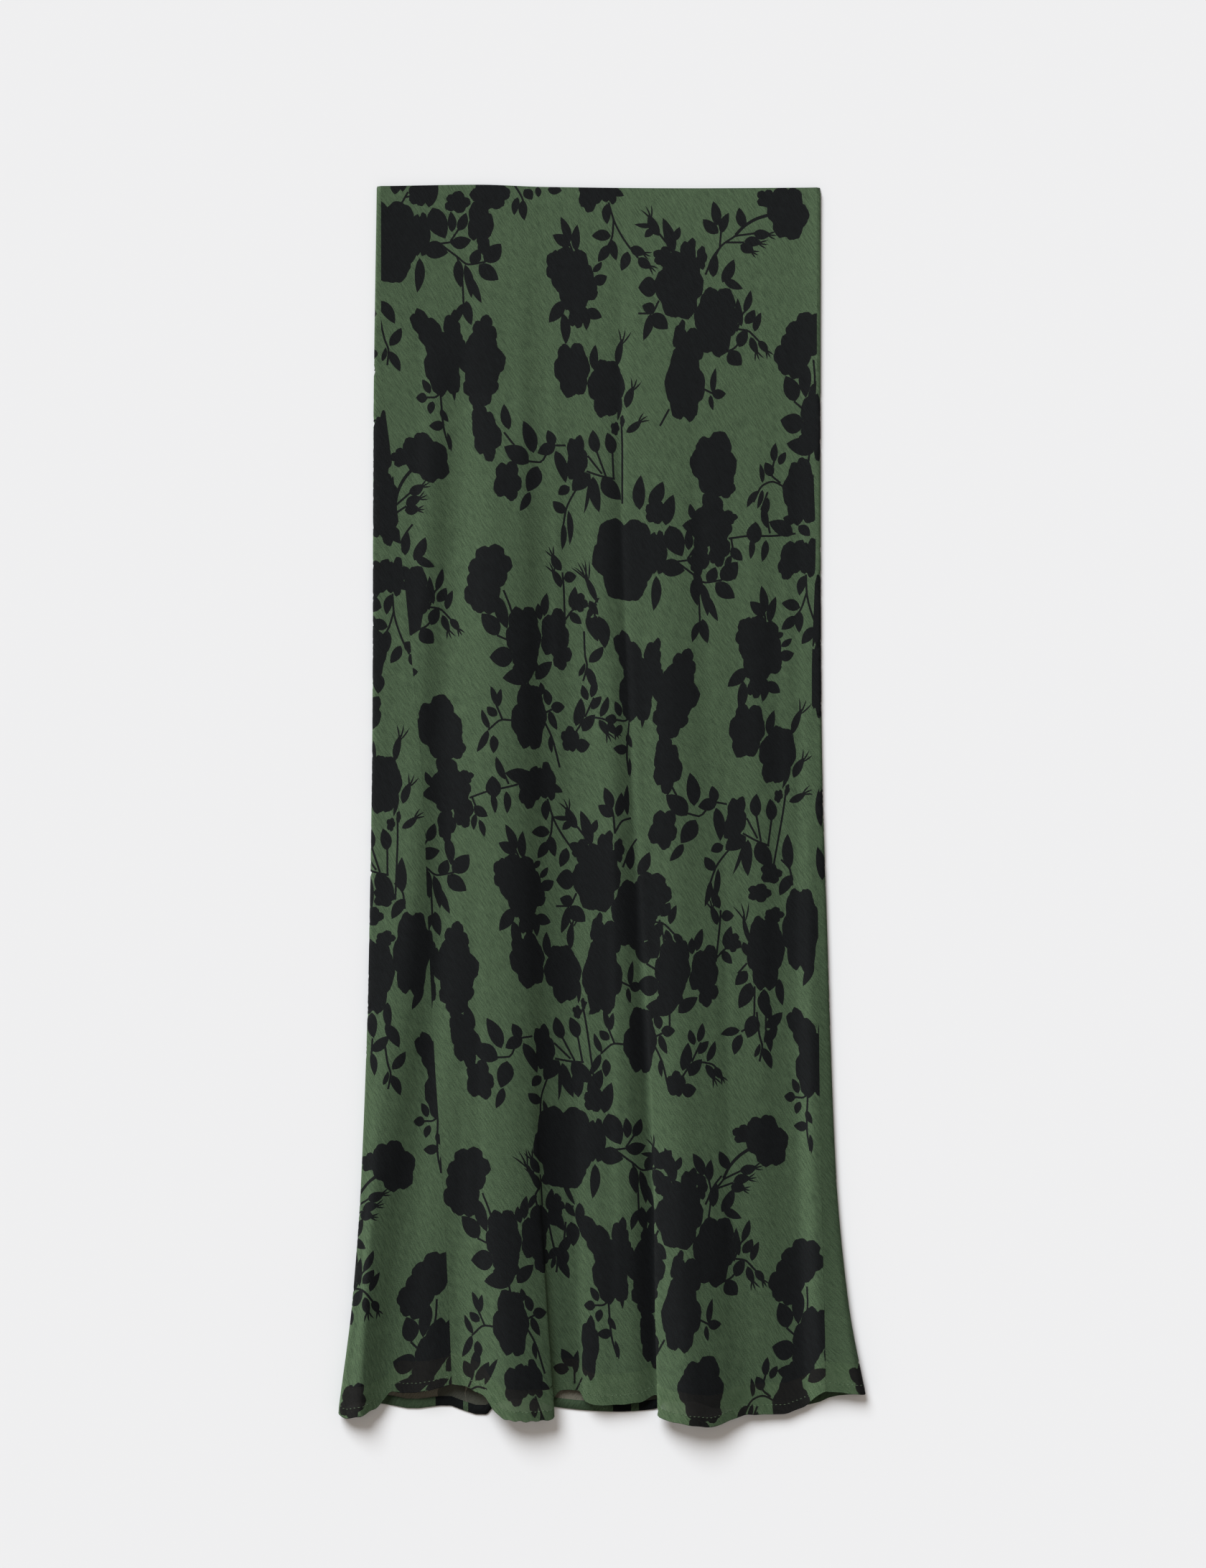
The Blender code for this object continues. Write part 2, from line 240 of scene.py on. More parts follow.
BACK_HEM = (
    (-203.6, 947.8), (-190, 939.5), (-168, 940.6), (-146, 944.4), (-118, 941.8),
    (-98, 948.8), (-87, 949.0), (-79, 940.0), (-62, 937.0), (-44, 938.5), (-36, 943.1),
    (12, 946.9), (42, 944.7), (50, 939.0), (74, 938.5), (90, 944.8),
    (139, 943.9), (170, 940.0), (184, 935.6), (203.6, 932.6),
)
print(len(FOLDS), "lines on the top layer,", len(STATIONS), "stations")


# %% Smooth curves through the tables
def slopes(values, step):
    """Slope of a smooth curve at each value. It is level where the values turn."""
    secant = np.diff(values, axis=0) / step
    before, after = secant[:-1], secant[1:]
    same_way = before * after > 0
    total = np.where(same_way, before + after, 1.0)
    inner = np.where(same_way, 2 * before * after / total, 0.0)
    return np.concatenate([secant[:1], inner, secant[-1:]])


def between(low, high, slope_low, slope_high, share, width):
    """Cubic from low to high with the given slopes, at a share of the way across the width."""
    rest = 1 - share
    level = (1 + 2 * share) * rest ** 2 * low + share ** 2 * (3 - 2 * share) * high
    return level + (share * rest ** 2 * slope_low - share ** 2 * rest * slope_high) * width


def smooth(at, values, where):
    """The smooth curve through values, given at the places in at, read at each place in where."""
    at, values = np.asarray(at, float), np.asarray(values, float)
    column = (-1,) + (1,) * (values.ndim - 1)
    where = np.clip(where, at[0], at[-1])
    slope = slopes(values, np.diff(at).reshape(column))
    index = np.clip(np.searchsorted(at, where, side="right") - 1, 0, len(at) - 2)
    width = at[index + 1] - at[index]
    share = ((where - at[index]) / width).reshape(column)
    return between(
        values[index], values[index + 1], slope[index], slope[index + 1],
        share, width.reshape(column),
    )


def fold_lines(edge, inward, fold):
    """Lines (x, height) of a side fold, at every 45 degrees of a half ellipse."""
    middle = np.array(edge) + inward * (CLOTH / 2 + np.array(fold.inset))
    lines = [(middle + inward * np.array(fold.inset), np.zeros(len(STATIONS)))]
    for turn in np.radians((-90, -45, 0, 45, 90)):
        x = middle - inward * np.array(fold.inset) * np.cos(turn)
        lines.append((x, np.array(fold.height) * (1 + np.sin(turn)) / 2))
    return lines


SECTIONS = np.array(
    fold_lines(LEFT_EDGE, 1, LEFT_FOLD)
    + [(fold.x, fold.height) for fold in FOLDS]
    + fold_lines(RIGHT_EDGE, -1, RIGHT_FOLD)[::-1],
    float,
).transpose(2, 0, 1)
LAST = SECTIONS.shape[1] - 1
LEFT_EDGE_LINE, LEFT_TOP_LINE = 3, 5
RIGHT_EDGE_LINE, RIGHT_TOP_LINE = LAST - 3, LAST - 5
print("control points of each section:", LAST + 1)


# %% One section of the tube, and where it ends
def section(depth, lines):
    """Points (x, height) of the section at one depth. Past LAST the line runs along the bottom."""
    control = smooth(STATIONS, SECTIONS, np.array([depth]))[0]
    slope = slopes(control, 1.0)
    around = np.mod(lines, LAST + 1)
    index = np.minimum(around.astype(int), LAST - 1)
    share = np.minimum(around - index, 1.0)[:, None]
    turned = between(control[index], control[index + 1], slope[index], slope[index + 1], share, 1.0)
    return turned + (control[0] - control[-1]) * np.maximum(around - LAST, 0.0)[:, None]


def hem_down(lines):
    """Depth of the hem at places round the tube."""
    ends = SECTIONS[-1]
    back_x, back_down = np.array(BACK_HEM).T
    at_lines = smooth(back_x, back_down, ends[:, 0])
    for edge, top, (edge_down, top_down) in (
        (LEFT_EDGE_LINE, LEFT_TOP_LINE, LEFT_FOLD.hem_down),
        (RIGHT_EDGE_LINE, RIGHT_TOP_LINE, RIGHT_FOLD.hem_down),
    ):
        above = (edge + top) // 2
        below = 2 * edge - above
        at_lines[below] = (at_lines[below] + edge_down) / 2
        at_lines[edge] = edge_down
        at_lines[above] = (edge_down + top_down) / 2
        at_lines[top] = top_down
    at_lines[LEFT_TOP_LINE + 1:RIGHT_TOP_LINE] = [fold.hem_down for fold in FOLDS]
    around = np.mod(lines, LAST + 1)
    bottom_x = ends[-1, 0] + (ends[0, 0] - ends[-1, 0]) * (around - LAST)
    return np.where(
        around > LAST,
        smooth(back_x, back_down, bottom_x),
        smooth(np.arange(LAST + 1), at_lines, around),
    )


def seam_line(depth, near, x):
    """Where round the tube the cloth has this x, near the given lines."""
    fine = np.linspace(*near, 160)
    return np.interp(x, section(depth, fine)[:, 0], fine)


SEAM_DEPTH, SEAM_LEFT, SEAM_RIGHT = np.array(SEAMS, float).T
LEFT_NEAR = (LEFT_TOP_LINE, LEFT_TOP_LINE + 5)
RIGHT_NEAR = (RIGHT_TOP_LINE - 3, RIGHT_TOP_LINE)


def seam_lines_at(depth, shift):
    """The left and right seam's places round the tube, each moved out from the front by shift."""
    left = smooth(SEAM_DEPTH, SEAM_LEFT, np.array([depth]))[0] - shift
    right = smooth(SEAM_DEPTH, SEAM_RIGHT, np.array([depth]))[0] + shift
    return seam_line(depth, LEFT_NEAR, left), seam_line(depth, RIGHT_NEAR, right)


print("left seam at the hem, place round the tube:", round(seam_lines_at(945, 0)[0], 2))

# %% [markdown]
# Print and weave belong to the flat cloth and not to the view: where the cloth turns up into a
# flute, the flowers are foreshortened. So each panel keeps a table that says, for every depth,
# how far across the flat cloth each point of the section lies. Everything on the panel is drawn
# flat, and this table then lays it on the form. Ridges along the main folds and soft ripples
# between them are added to the upper layer here. Each is up to 7.4 mm high, so the folds stand
# higher here than in the imported model.

# %% Ridges and ripples along the folds
Ripple = namedtuple("Ripple", "x_top depth_top x_low depth_low wide high")
RIPPLE_FADE = 0.7
RIPPLES = [Ripple(*row) for row in (
    (-128, 120, -147, 620, 26, 3.6),
    (-134, 430, -176, 990, 36, 5.4),
    (-106, 280, -112, 880, 40, 2.8),
    (-88, 60, -96, 500, 24, 1.0),
    (-112, 560, -132, 990, 24, 1.0),
    (-75, 160, -64, 930, 58, 7.4),
    (2, 160, 8, 620, 26, 2.2),
    (10, 340, 28, 1000, 24, 3.4),
    (52, 200, 66, 900, 34, 1.4),
    (118, 160, 124, 940, 22, 1.4),
    (158, 480, 171, 990, 18, 2.0),
    (-140, 60, -146, 400, 9, -0.4),
    (-64, 30, -62, 330, 14, 0.6),
    (-36, 90, -34, 520, 9, 0.6),
    (70, 120, 86, 560, 14, -0.7),
    (-98, 520, -92, 930, 8, -0.6),
    (8, 430, 14, 920, 7, 0.6),
    (92, 380, 100, 930, 10, -0.8),
    (142, 200, 146, 600, 9, 0.5),
)]


def rippled(x, depth):
    """Height that the ripples add at each x of one section."""
    total = np.zeros(len(x))
    for ripple in RIPPLES:
        length = ripple.depth_low - ripple.depth_top
        share = (depth - ripple.depth_top) / length
        if not 0 < share < 1:
            continue
        middle = ripple.x_top + (ripple.x_low - ripple.x_top) * share
        fade = math.sin(math.pi * share) ** RIPPLE_FADE
        total += ripple.high * fade * np.exp(-((x - middle) / ripple.wide * 2) ** 2)
    return total


HEM_TOUCH = (
    (-215, 0), (-200, 0), (-188, -1.5), (-180, 0), (-174, 3.4), (-169, 0.5), (-164, -3.8),
    (-152, -0.5), (-120, 1), (-108, 2.5), (-98, 1.5), (-90, -2.5), (-82, 2), (-76, 1), (-68, -3),
    (-58, -2.6), (-46, -1.5), (-37, 0), (215, 0),
)
PUCKER_HIGH, PUCKER_TURN, PUCKER_SHIFT, PUCKER_SWELL = 0.28, 0.43, 0.6, 0.071
FLUTE_PUCKER_HIGH, FLUTE_PUCKER_TURN, FLUTE_X, FLUTE_WIDE = 0.55, 0.72, -60, 22


def hem_touched(x):
    """How far the upper layer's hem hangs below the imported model's at x: the flutes end squarer,
    and the stitching puckers the cloth, most on the second flute."""
    at, extra = np.array(HEM_TOUCH, float).T
    small = PUCKER_HIGH * np.sin(x * PUCKER_TURN + PUCKER_SHIFT) * np.sin(x * PUCKER_SWELL)
    near_flute = np.exp(-((x - FLUTE_X) / FLUTE_WIDE) ** 4)
    strong = FLUTE_PUCKER_HIGH * near_flute * np.sin(x * FLUTE_PUCKER_TURN)
    return smooth(at, extra, x) + small + strong


# %% Each panel's table from flat cloth to form
TABLE_STEP = 2.0
TABLE_ACROSS = 700
WAIST_ROW = 2
TABLE_TOP, TABLE_LOW = -WAIST_ROW * TABLE_STEP, HEM_BOTTOM + 6.0
LAST_STATION = float(STATIONS[-1])
RIPPLE_FROM, RIPPLE_RISE = 0.3, 1.3
UPPER_HEM_FROM = 2.0
Panel = namedtuple(
    "Panel",
    "name across points normals depths hem_across hem_depth waist_across waist_depth",
)


def form_table(name, lines_of):
    """Rows of the panel every TABLE_STEP, from above the waist to below the hem. across is the
    distance along the section, counted from where it passes the middle of the skirt."""
    depths = np.arange(TABLE_TOP, TABLE_LOW, TABLE_STEP)
    shares = np.linspace(0, 1, TABLE_ACROSS)
    across, points = [], []
    for depth in depths:
        left, right = lines_of(min(max(depth, 0.0), HEM_BOTTOM))
        lines = left + (right - left) * shares
        x, height = section(depth, lines).T
        height = height + rippled(x, depth) * np.clip((height - RIPPLE_FROM) / RIPPLE_RISE, 0, 1)
        length = np.concatenate([[0], np.cumsum(np.hypot(np.diff(x), np.diff(height)))])
        crossing = height < (np.inf if name == "front" else ON_TABLE)
        order = np.argsort(x[crossing])
        across.append(length - np.interp(0.0, x[crossing][order], length[crossing][order]))
        points.append(np.stack([x, np.full(len(x), MIDDLE - depth), CLOTH / 2 + height], axis=1))
    across, points = np.array(across), np.array(points)
    down_step, side_step = np.gradient(points, axis=0), np.gradient(points, axis=1)
    normals = np.cross(down_step, side_step)
    normals /= np.linalg.norm(normals, axis=2, keepdims=True)
    hem_row = int((LAST_STATION - depths[0]) / TABLE_STEP)
    ends = lines_of(LAST_STATION)
    hem_depth = hem_down(ends[0] + (ends[1] - ends[0]) * shares)
    upper = points[hem_row, :, 2] > CLOTH / 2 + UPPER_HEM_FROM
    hem_depth = hem_depth + np.where(upper, hem_touched(points[hem_row, :, 0]), 0)
    hem_across = read_row(across, depths, shares, hem_depth)
    waist = np.array(WAIST_EDGE, float).T
    waist_depth = smooth(waist[0], waist[1], points[WAIST_ROW, :, 0])
    waist_across = read_row(across, depths, shares, waist_depth)
    print(name, "panel:", round(np.ptp(across[hem_row]), 1), "mm across the hem,",
          round(np.ptp(across[WAIST_ROW]), 1), "mm across the waist")
    return Panel(
        name, across, points, normals, depths, hem_across, hem_depth, waist_across, waist_depth)


def read_row(across, depths, shares, at_depth):
    """The flat distance across at each share of the section, each at its own depth."""
    row = (at_depth - depths[0]) / TABLE_STEP
    low = np.clip(row.astype(int), 0, len(depths) - 2)
    column = np.arange(len(shares))
    share = row - low
    return across[low, column] * (1 - share) + across[low + 1, column] * share


def front_ends(depth):
    return seam_lines_at(depth, 0.0)


def back_ends(depth):
    left, right = seam_lines_at(depth, 0.0)
    return right, LAST + 1 + left


FRONT = form_table("front", front_ends)
BACK = form_table("back", back_ends)


def lay_on(panel, across, depth, out):
    """3-D points, in metres, of places on the flat cloth, each moved out from the middle of the
    cloth by its own out. Also gives the outward direction there."""
    row = np.clip((depth - panel.depths[0]) / TABLE_STEP, 0, len(panel.depths) - 1.001)
    low = row.astype(int)
    result = np.zeros((len(across), 6))
    for index in np.unique(low):
        chosen = low == index
        share = (row[chosen] - index)[:, None]
        layers = []
        for near in (index, index + 1):
            values = np.concatenate([panel.points[near], panel.normals[near]], axis=1)
            read = [np.interp(across[chosen], panel.across[near], value) for value in values.T]
            layers.append(np.stack(read, axis=1))
        result[chosen] = layers[0] * (1 - share) + layers[1] * share
    normal = result[:, 3:] / np.linalg.norm(result[:, 3:], axis=1, keepdims=True)
    return (result[:, :3] + normal * np.asarray(out).reshape(-1, 1)) * MM, normal


# %% [markdown]
# The print is an ordinary one of roses in outline, with leaf sprays and buds. It is drawn here
# from simple parts: a rose is a ring of round petals, a leaf is a pointed oval, and a stem is a
# ribbon. Each motif is a closed outline on the flat cloth. The outlines are then cut into the
# panel's mesh, so that the edges of the print stay crisp and each face has one colour.

# %% Motifs of the print
ROSE_POINTS, LEAF_POINTS = 72, 9
ROSE_GROWTH = 1.06
WIDE_ROSE = 24
PETAL_SHIFT = 0.17
PETAL_REACH, PETAL_RADIUS = (0.50, 0.60), (0.41, 0.50)
BARE_EDGE = 0.7
RUFFLES = ((0.018, 13), (0.010, 27))
LEAF_BEND, LEAF_LEAN, LEAF_FULL = 0.16, 0.85, 0.8
BUD_LONG, BUD_NECK = 0.8, 0.6
SEPAL_LONG, SEPAL_WIDE, SEPAL_FAN = 0.5, 1.3, (-22, 3, 26)


def turned(points, degrees):
    cos, sin = math.cos(math.radians(degrees)), math.sin(math.radians(degrees))
    return points @ np.array([[cos, sin], [-sin, cos]])


def rose(x, y, wide, tall, lean=0):
    """Outline of an open rose: the outermost of a ring of round petals, seen along each ray."""
    petals = 6 if wide > WIDE_ROSE else 5
    rng = np.random.default_rng(int(abs(x) * 7 + abs(y) * 3 + wide * 5 + tall))
    shift = rng.uniform(-PETAL_SHIFT, PETAL_SHIFT, petals)
    turns = (np.arange(petals) + shift) / petals * 2 * math.pi
    reach = rng.uniform(*PETAL_REACH, petals)
    radius = rng.uniform(*PETAL_RADIUS, petals)
    centres = np.stack([np.cos(turns), np.sin(turns)], axis=1) * reach[:, None]
    rays = np.linspace(0, 2 * math.pi, ROSE_POINTS, endpoint=False)
    ray = np.stack([np.cos(rays), np.sin(rays)], axis=1)
    along = ray @ centres.T
    spare = radius ** 2 - ((centres ** 2).sum(axis=1) - along ** 2)
    exits = np.where(spare > 0, along + np.sqrt(np.maximum(spare, 0)), BARE_EDGE)
    (deep, few), (shallow, many) = RUFFLES
    ruffle = deep * np.sin(rays * few + wide) + shallow * np.sin(rays * many + tall)
    edge = exits.max(axis=1) + ruffle
    return turned(ray * edge[:, None] * (wide / 2, tall / 2) * ROSE_GROWTH, lean) + (x, y)


def leaf(x, y, tip_x, tip_y, wide):
    """Outline of a leaf from its foot to its tip, a pointed oval on a slightly bent midrib."""
    length = math.hypot(tip_x - x, tip_y - y)
    share = np.linspace(0, 1, LEAF_POINTS)
    half = wide / 2 * np.sin(math.pi * share ** LEAF_LEAN) ** LEAF_FULL
    bend = LEAF_BEND if (int(x) + int(y)) % 2 else -LEAF_BEND
    middle = bend * length * share * (1 - share)
    upper = np.stack([share * length, middle + half], axis=1)
    lower = np.stack([share * length, middle - half], axis=1)[-2:0:-1]
    towards = math.degrees(math.atan2(tip_y - y, tip_x - x))
    return turned(np.concatenate([upper, lower]), towards) + (x, y)


STEM_WIDE, STEM_STEPS = 1.6, 4


def stem(corners, wide=STEM_WIDE):
    """Outline of a stem: a ribbon along a smooth line through the corners."""
    corners = np.array(corners, float)
    last = len(corners) - 1
    line = smooth(np.arange(last + 1), corners, np.linspace(0, last, STEM_STEPS * last + 1))
    along = np.gradient(line, axis=0)
    side = np.stack([-along[:, 1], along[:, 0]], axis=1) / np.linalg.norm(along, axis=1)[:, None]
    return np.concatenate([line + side * wide / 2, (line - side * wide / 2)[::-1]])


def bud(x, y, tip_x, tip_y, wide):
    """A closed bud from its foot to its tip, with three narrow sepals at the end."""
    foot, reach = np.array([x, y]), np.array([tip_x - x, tip_y - y])
    neck = foot + reach * BUD_NECK
    tips = [neck + turned(reach[None] * SEPAL_LONG, fan)[0] for fan in SEPAL_FAN]
    sepals = [leaf(*neck, *tip, SEPAL_WIDE) for tip in tips]
    return [leaf(*foot, *(foot + reach * BUD_LONG), wide), *sepals]


print("a leaf outline has", len(leaf(0, 0, 10, 10, 6)), "points")

# %% [markdown]
# Roses and twigs are grouped into bunches, as on a drawn repeat. Each bunch is charted with
# simple shapes where it lies flattest on the skirt. It is given in millimetres, x to the right and
# depth below the waist, around its own middle. A rose is (x, depth, wide, tall) and its lean, if
# any. A leaf or a bud is (foot, tip, width), and a twig is its corners.

# %% Bunches of the repeat
Bunch = namedtuple("Bunch", "middle roses leaves buds twigs")
BUNCHES = {
    "rose with spray": Bunch(
        (-158, 44),
        ((-166, 43, 50, 64), (-140, 37, 14, 36), (-141, 6, 16, 18)),
        ((-138, 48, -119, 51, 14), (-141, 55, -143, 82, 8), (-117, 44, -101, 41, 10),
         (-111, 34, -105, 20, 8), (-116, 35, -117, 19, 7), (-91, 58, -78, 44, 13),
         (-101, 60, -95, 48, 9), (-95, 60, -80, 72, 12), (-111, 56, -109, 78, 8),
         (-106, 60, -101, 86, 7), (-101, 70, -93, 90, 6), (-107, 90, -113, 106, 6),
         (-105, 88, -101, 107, 8), (-154, 4, -153, -23, 10), (-146, 1, -136, -18, 11),
         (-134, 16, -128, -8, 11), (-131, 16, -121, 40, 16), (-189, 78, -195, 89, 5),
         (-187, 86, -194, 98, 6), (-186, 86, -181, 111, 11)),
        ((-187, 74, -202, 47, 4),),
        (((-141, 45), (-126, 44), (-112, 42)), ((-117, 42), (-111, 33)),
         ((-186, 72), (-190, 80), (-187, 92)), ((-124, 45), (-112, 54), (-103, 60), (-90, 58)),
         ((-112, 54), (-108, 72), (-107, 92))),
    ),
    "winged pair": Bunch(
        (-110, 131),
        ((-124, 137, 27, 50, -12), (-135, 111, 19, 38, -32), (-117, 114, 14, 36, 6),
         (-92, 134, 34, 42), (-110, 124, 9, 20), (-91, 114, 19, 28), (-94, 155, 27, 31),
         (-89, 193, 22, 40, -5), (-95, 174, 11, 22)),
        ((-113, 140, -114, 166, 5), (-133, 160, -139, 149, 6), (-135, 164, -144, 163, 8),
         (-131, 166, -133, 176, 6), (-125, 172, -119, 182, 5), (-122, 184, -134, 185, 8),
         (-120, 190, -117, 205, 3), (-172, 88, -160, 106, 9), (-164, 123, -155, 109, 8),
         (-165, 127, -156, 143, 7), (-170, 135, -167, 124, 4)),
        (),
        (((-123, 158), (-130, 163), (-136, 163)), ((-125, 160), (-123, 185), (-118, 203)),
         ((-172, 100), (-168, 118), (-165, 127), (-166, 138))),
    ),
    "lone rose": Bunch(
        (-23, 70),
        ((-22, 70, 31, 48, -4), (-37, 61, 14, 22), (-20, 97, 14, 25), (-10, 78, 12, 20)),
        ((-30, 88, -41, 105, 10), (-14, 92, -12, 111, 7), (-25, 46, -38, 37, 9),
         (-25, 44, -32, 23, 7), (-20, 50, -19, 29, 7), (-7, 66, 0, 58, 5), (-7, 74, 4, 69, 9),
         (-12, 86, -3, 81, 9), (-12, 95, 0, 101, 9), (-30, 98, -28, 122, 8)),
        (),
        (((-22, 52), (-26, 42), (-30, 38)), ((-14, 94), (-8, 97))),
    ),
    "chain of leaves": Bunch(
        (-23, 142),
        ((-23, 141, 26, 42, -5), (3, 156, 27, 46), (-20, 210, 17, 36), (-73, 228, 22, 32),
         (10, 187, 7, 10), (16, 181, 4, 9)),
        ((-6, 142, -5, 122, 7), (14, 160, 12, 181, 4), (-4, 206, -7, 188, 9), (8, 207, 4, 190, 9),
         (-38, 201, -42, 188, 8), (-36, 201, -50, 206, 10), (-36, 204, -28, 229, 9),
         (-53, 206, -61, 181, 11), (-57, 214, -76, 201, 14), (-72, 188, -76, 168, 8),
         (-50, 216, -58, 236, 13), (-56, 236, -64, 251, 7), (0, 225, 15, 242, 13),
         (-7, 224, -2, 252, 9), (-9, 222, -23, 235, 13), (-25, 232, -34, 238, 8),
         (-28, 252, -38, 243, 8), (-26, 250, -25, 277, 5), (-30, 260, -31, 281, 5),
         (-10, 228, -14, 253, 3)),
        ((12, 138, 17, 112, 6), (19, 171, 26, 150, 7), (19, 190, 34, 178, 6)),
        (((15, 178), (16, 205), (16, 245)), ((-28, 200), (-38, 200), (-48, 213), (-60, 212)),
         ((-76, 190), (-68, 200)), ((-11, 208), (0, 222)), ((-4, 205), (3, 224)),
         ((8, 205), (9, 226)), ((-12, 222), (-20, 234), (-28, 250), (-30, 262)),
         ((10, 226), (0, 224), (-12, 220))),
    ),
    "double rose": Bunch(
        (74, 92),
        ((60, 77, 36, 50), (48, 54, 17, 15), (66, 52, 13, 26, 12), (77, 55, 9, 17),
         (88, 103, 34, 54, 4), (64, 153, 29, 60), (67, 126, 22, 34), (60, 116, 10, 24, 10)),
        ((55, 52, 47, 24, 9), (40, 30, 25, 29, 4), (40, 33, 33, 39, 6), (55, 42, 60, 31, 6),
         (43, 78, 28, 78, 16), (41, 96, 31, 92, 9), (39, 98, 51, 110, 12), (38, 98, 32, 119, 7),
         (86, 70, 88, 51, 8), (93, 74, 102, 56, 9), (94, 71, 109, 79, 7), (106, 124, 112, 110, 9),
         (108, 108, 105, 86, 6), (110, 97, 115, 80, 6), (111, 106, 118, 95, 8),
         (118, 112, 123, 97, 6), (98, 127, 108, 138, 12), (86, 160, 88, 140, 5),
         (85, 160, 96, 160, 8), (84, 161, 86, 173, 4)),
        ((44, 38, 34, 17, 8), (115, 116, 122, 133, 6), (121, 119, 130, 131, 6)),
        (((55, 50), (44, 36)), ((80, 68), (86, 54), (92, 46)), ((104, 110), (112, 111), (122, 120)),
         ((95, 128), (102, 125), (108, 118)), ((104, 112), (109, 98), (112, 95)),
         ((78, 156), (86, 160)), ((44, 88), (38, 98), (28, 98)), ((52, 172), (45, 185))),
    ),
    "rose on a twig": Bunch(
        (144, 21),
        ((144, 20, 32, 42), (127, 9, 15, 14)),
        ((110, 32, 106, 16, 8), (90, 36, 78, 25, 9), (89, 30, 86, 11, 8), (92, 36, 98, 20, 7)),
        ((117, 36, 134, 37, 8), (110, 42, 127, 44, 8), (107, 45, 120, 52, 9)),
        (((134, 21), (120, 25), (110, 31), (103, 38), (92, 46), (84, 62)), ((103, 38), (118, 36)),
         ((134, 20), (120, 24), (110, 30), (103, 37)), ((96, 43), (110, 43)),
         ((91, 48), (92, 34), (90, 28))),
    ),
    "rose above a pair": Bunch(
        (-87, 302),
        ((-86, 293, 32, 32), (-92, 313, 27, 34, -8), (-60, 349, 27, 48, -3), (-36, 347, 22, 40),
         (-31, 362, 15, 22), (-60, 370, 20, 20), (-17, 322, 13, 14)),
        ((-80, 317, -73, 342, 10), (-80, 347, -93, 330, 13), (-54, 379, -77, 380, 14),
         (-51, 381, -38, 367, 10), (-44, 332, -42, 314, 7), (-47, 335, -49, 322, 6),
         (-68, 362, -87, 364, 16), (-29, 303, -19, 301, 9), (-24, 325, -20, 309, 7),
         (-24, 329, -15, 338, 7), (-9, 320, -2, 331, 6)),
        ((-31, 297, -40, 280, 7), (-31, 310, -40, 292, 6), (-2, 322, -15, 293, 4)),
        (((-76, 312), (-70, 328), (-67, 345)), ((-81, 347), (-72, 351)),
         ((-28, 338), (-29, 310), (-30, 298)), ((-28, 335), (-20, 326), (-3, 323)),
         ((-58, 380), (-56, 392))),
    ),
    "lower rose": Bunch(
        (-56, 410),
        ((-56, 410, 27, 50),),
        ((-82, 401, -86, 386, 5), (-80, 402, -78, 388, 5), (-81, 409, -89, 402, 7),
         (-87, 419, -93, 404, 5), (-39, 402, -28, 402, 9), (-40, 401, -44, 388, 7),
         (-40, 405, -34, 420, 6), (-46, 393, -47, 383, 5), (-39, 424, -38, 438, 4),
         (-88, 420, -97, 437, 6), (-84, 424, -84, 438, 7)),
        (),
        (((-66, 413), (-77, 412), (-88, 420)), ((-77, 412), (-82, 400)), ((-46, 408), (-38, 404)),
         ((-46, 410), (-38, 426), (-32, 449))),
    ),
    "rose and petals": Bunch(
        (86, 217),
        ((87, 215, 34, 48, -5), (94, 232, 18, 18), (85, 246, 16, 26), (84, 264, 32, 34),
         (97, 256, 15, 11), (90, 279, 17, 28), (76, 289, 14, 26, 15)),
        ((78, 262, 62, 262, 12), (72, 258, 68, 245, 6), (74, 298, 73, 320, 8),
         (148, 269, 129, 259, 12), (118, 276, 119, 259, 12), (128, 264, 125, 245, 6),
         (116, 272, 115, 288, 5), (127, 273, 124, 290, 6), (100, 279, 109, 289, 8),
         (100, 285, 96, 297, 5), (102, 290, 103, 304, 5)),
        (),
        (((98, 272), (115, 270), (130, 270), (150, 268)), ((100, 272), (103, 288)),
         ((130, 268), (128, 258))),
    ),
    "petals with hanging twig": Bunch(
        (-3, 4),
        ((-9, 3, 19, 32, 10), (4, -1, 15, 30, -10)),
        ((4, 2, 17, 7, 7), (4, 13, 4, 29, 7), (7, 38, -8, 38, 9), (8, 41, 11, 57, 7),
         (5, 45, -3, 58, 8), (-1, 60, -6, 66, 5), (20, 50, 15, 65, 8)),
        ((22, 47, 37, 53, 8), (28, 55, 41, 65, 8)),
        (((5, 12), (10, 28), (20, 45), (28, 55)), ((9, 25), (8, 38), (2, 50))),
    ),
    "rose with side twig": Bunch(
        (156, 235),
        ((154, 236, 27, 50, -5),),
        ((131, 224, 126, 213, 8), (124, 229, 122, 214, 4), (133, 213, 134, 198, 6),
         (137, 215, 142, 205, 6), (120, 235, 112, 248, 5), (124, 234, 120, 249, 4),
         (128, 240, 125, 256, 5), (150, 258, 140, 256, 8), (152, 262, 161, 270, 8)),
        (),
        (((144, 234), (132, 228), (124, 231), (117, 244)), ((138, 229), (131, 222), (133, 212)),
         ((128, 236), (123, 250))),
    ),
    "leaf cluster": Bunch(
        (62, 693),
        ((57, 693, 14, 20, -10),),
        ((61, 698, 73, 697, 11), (62, 683, 66, 661, 9), (67, 687, 77, 674, 9),
         (71, 663, 67, 651, 6), (74, 661, 77, 646, 6), (74, 670, 82, 660, 7),
         (81, 676, 87, 660, 6)),
        ((80, 678, 89, 694, 6), (87, 680, 95, 692, 6)),
        (((60, 690), (72, 676), (85, 678), (93, 690)), ((69, 676), (76, 661))),
    ),
    "rose below the chain": Bunch(
        (136, 585),
        ((154, 574, 28, 66), (126, 592, 28, 60), (130, 531, 17, 15), (121, 546, 18, 14),
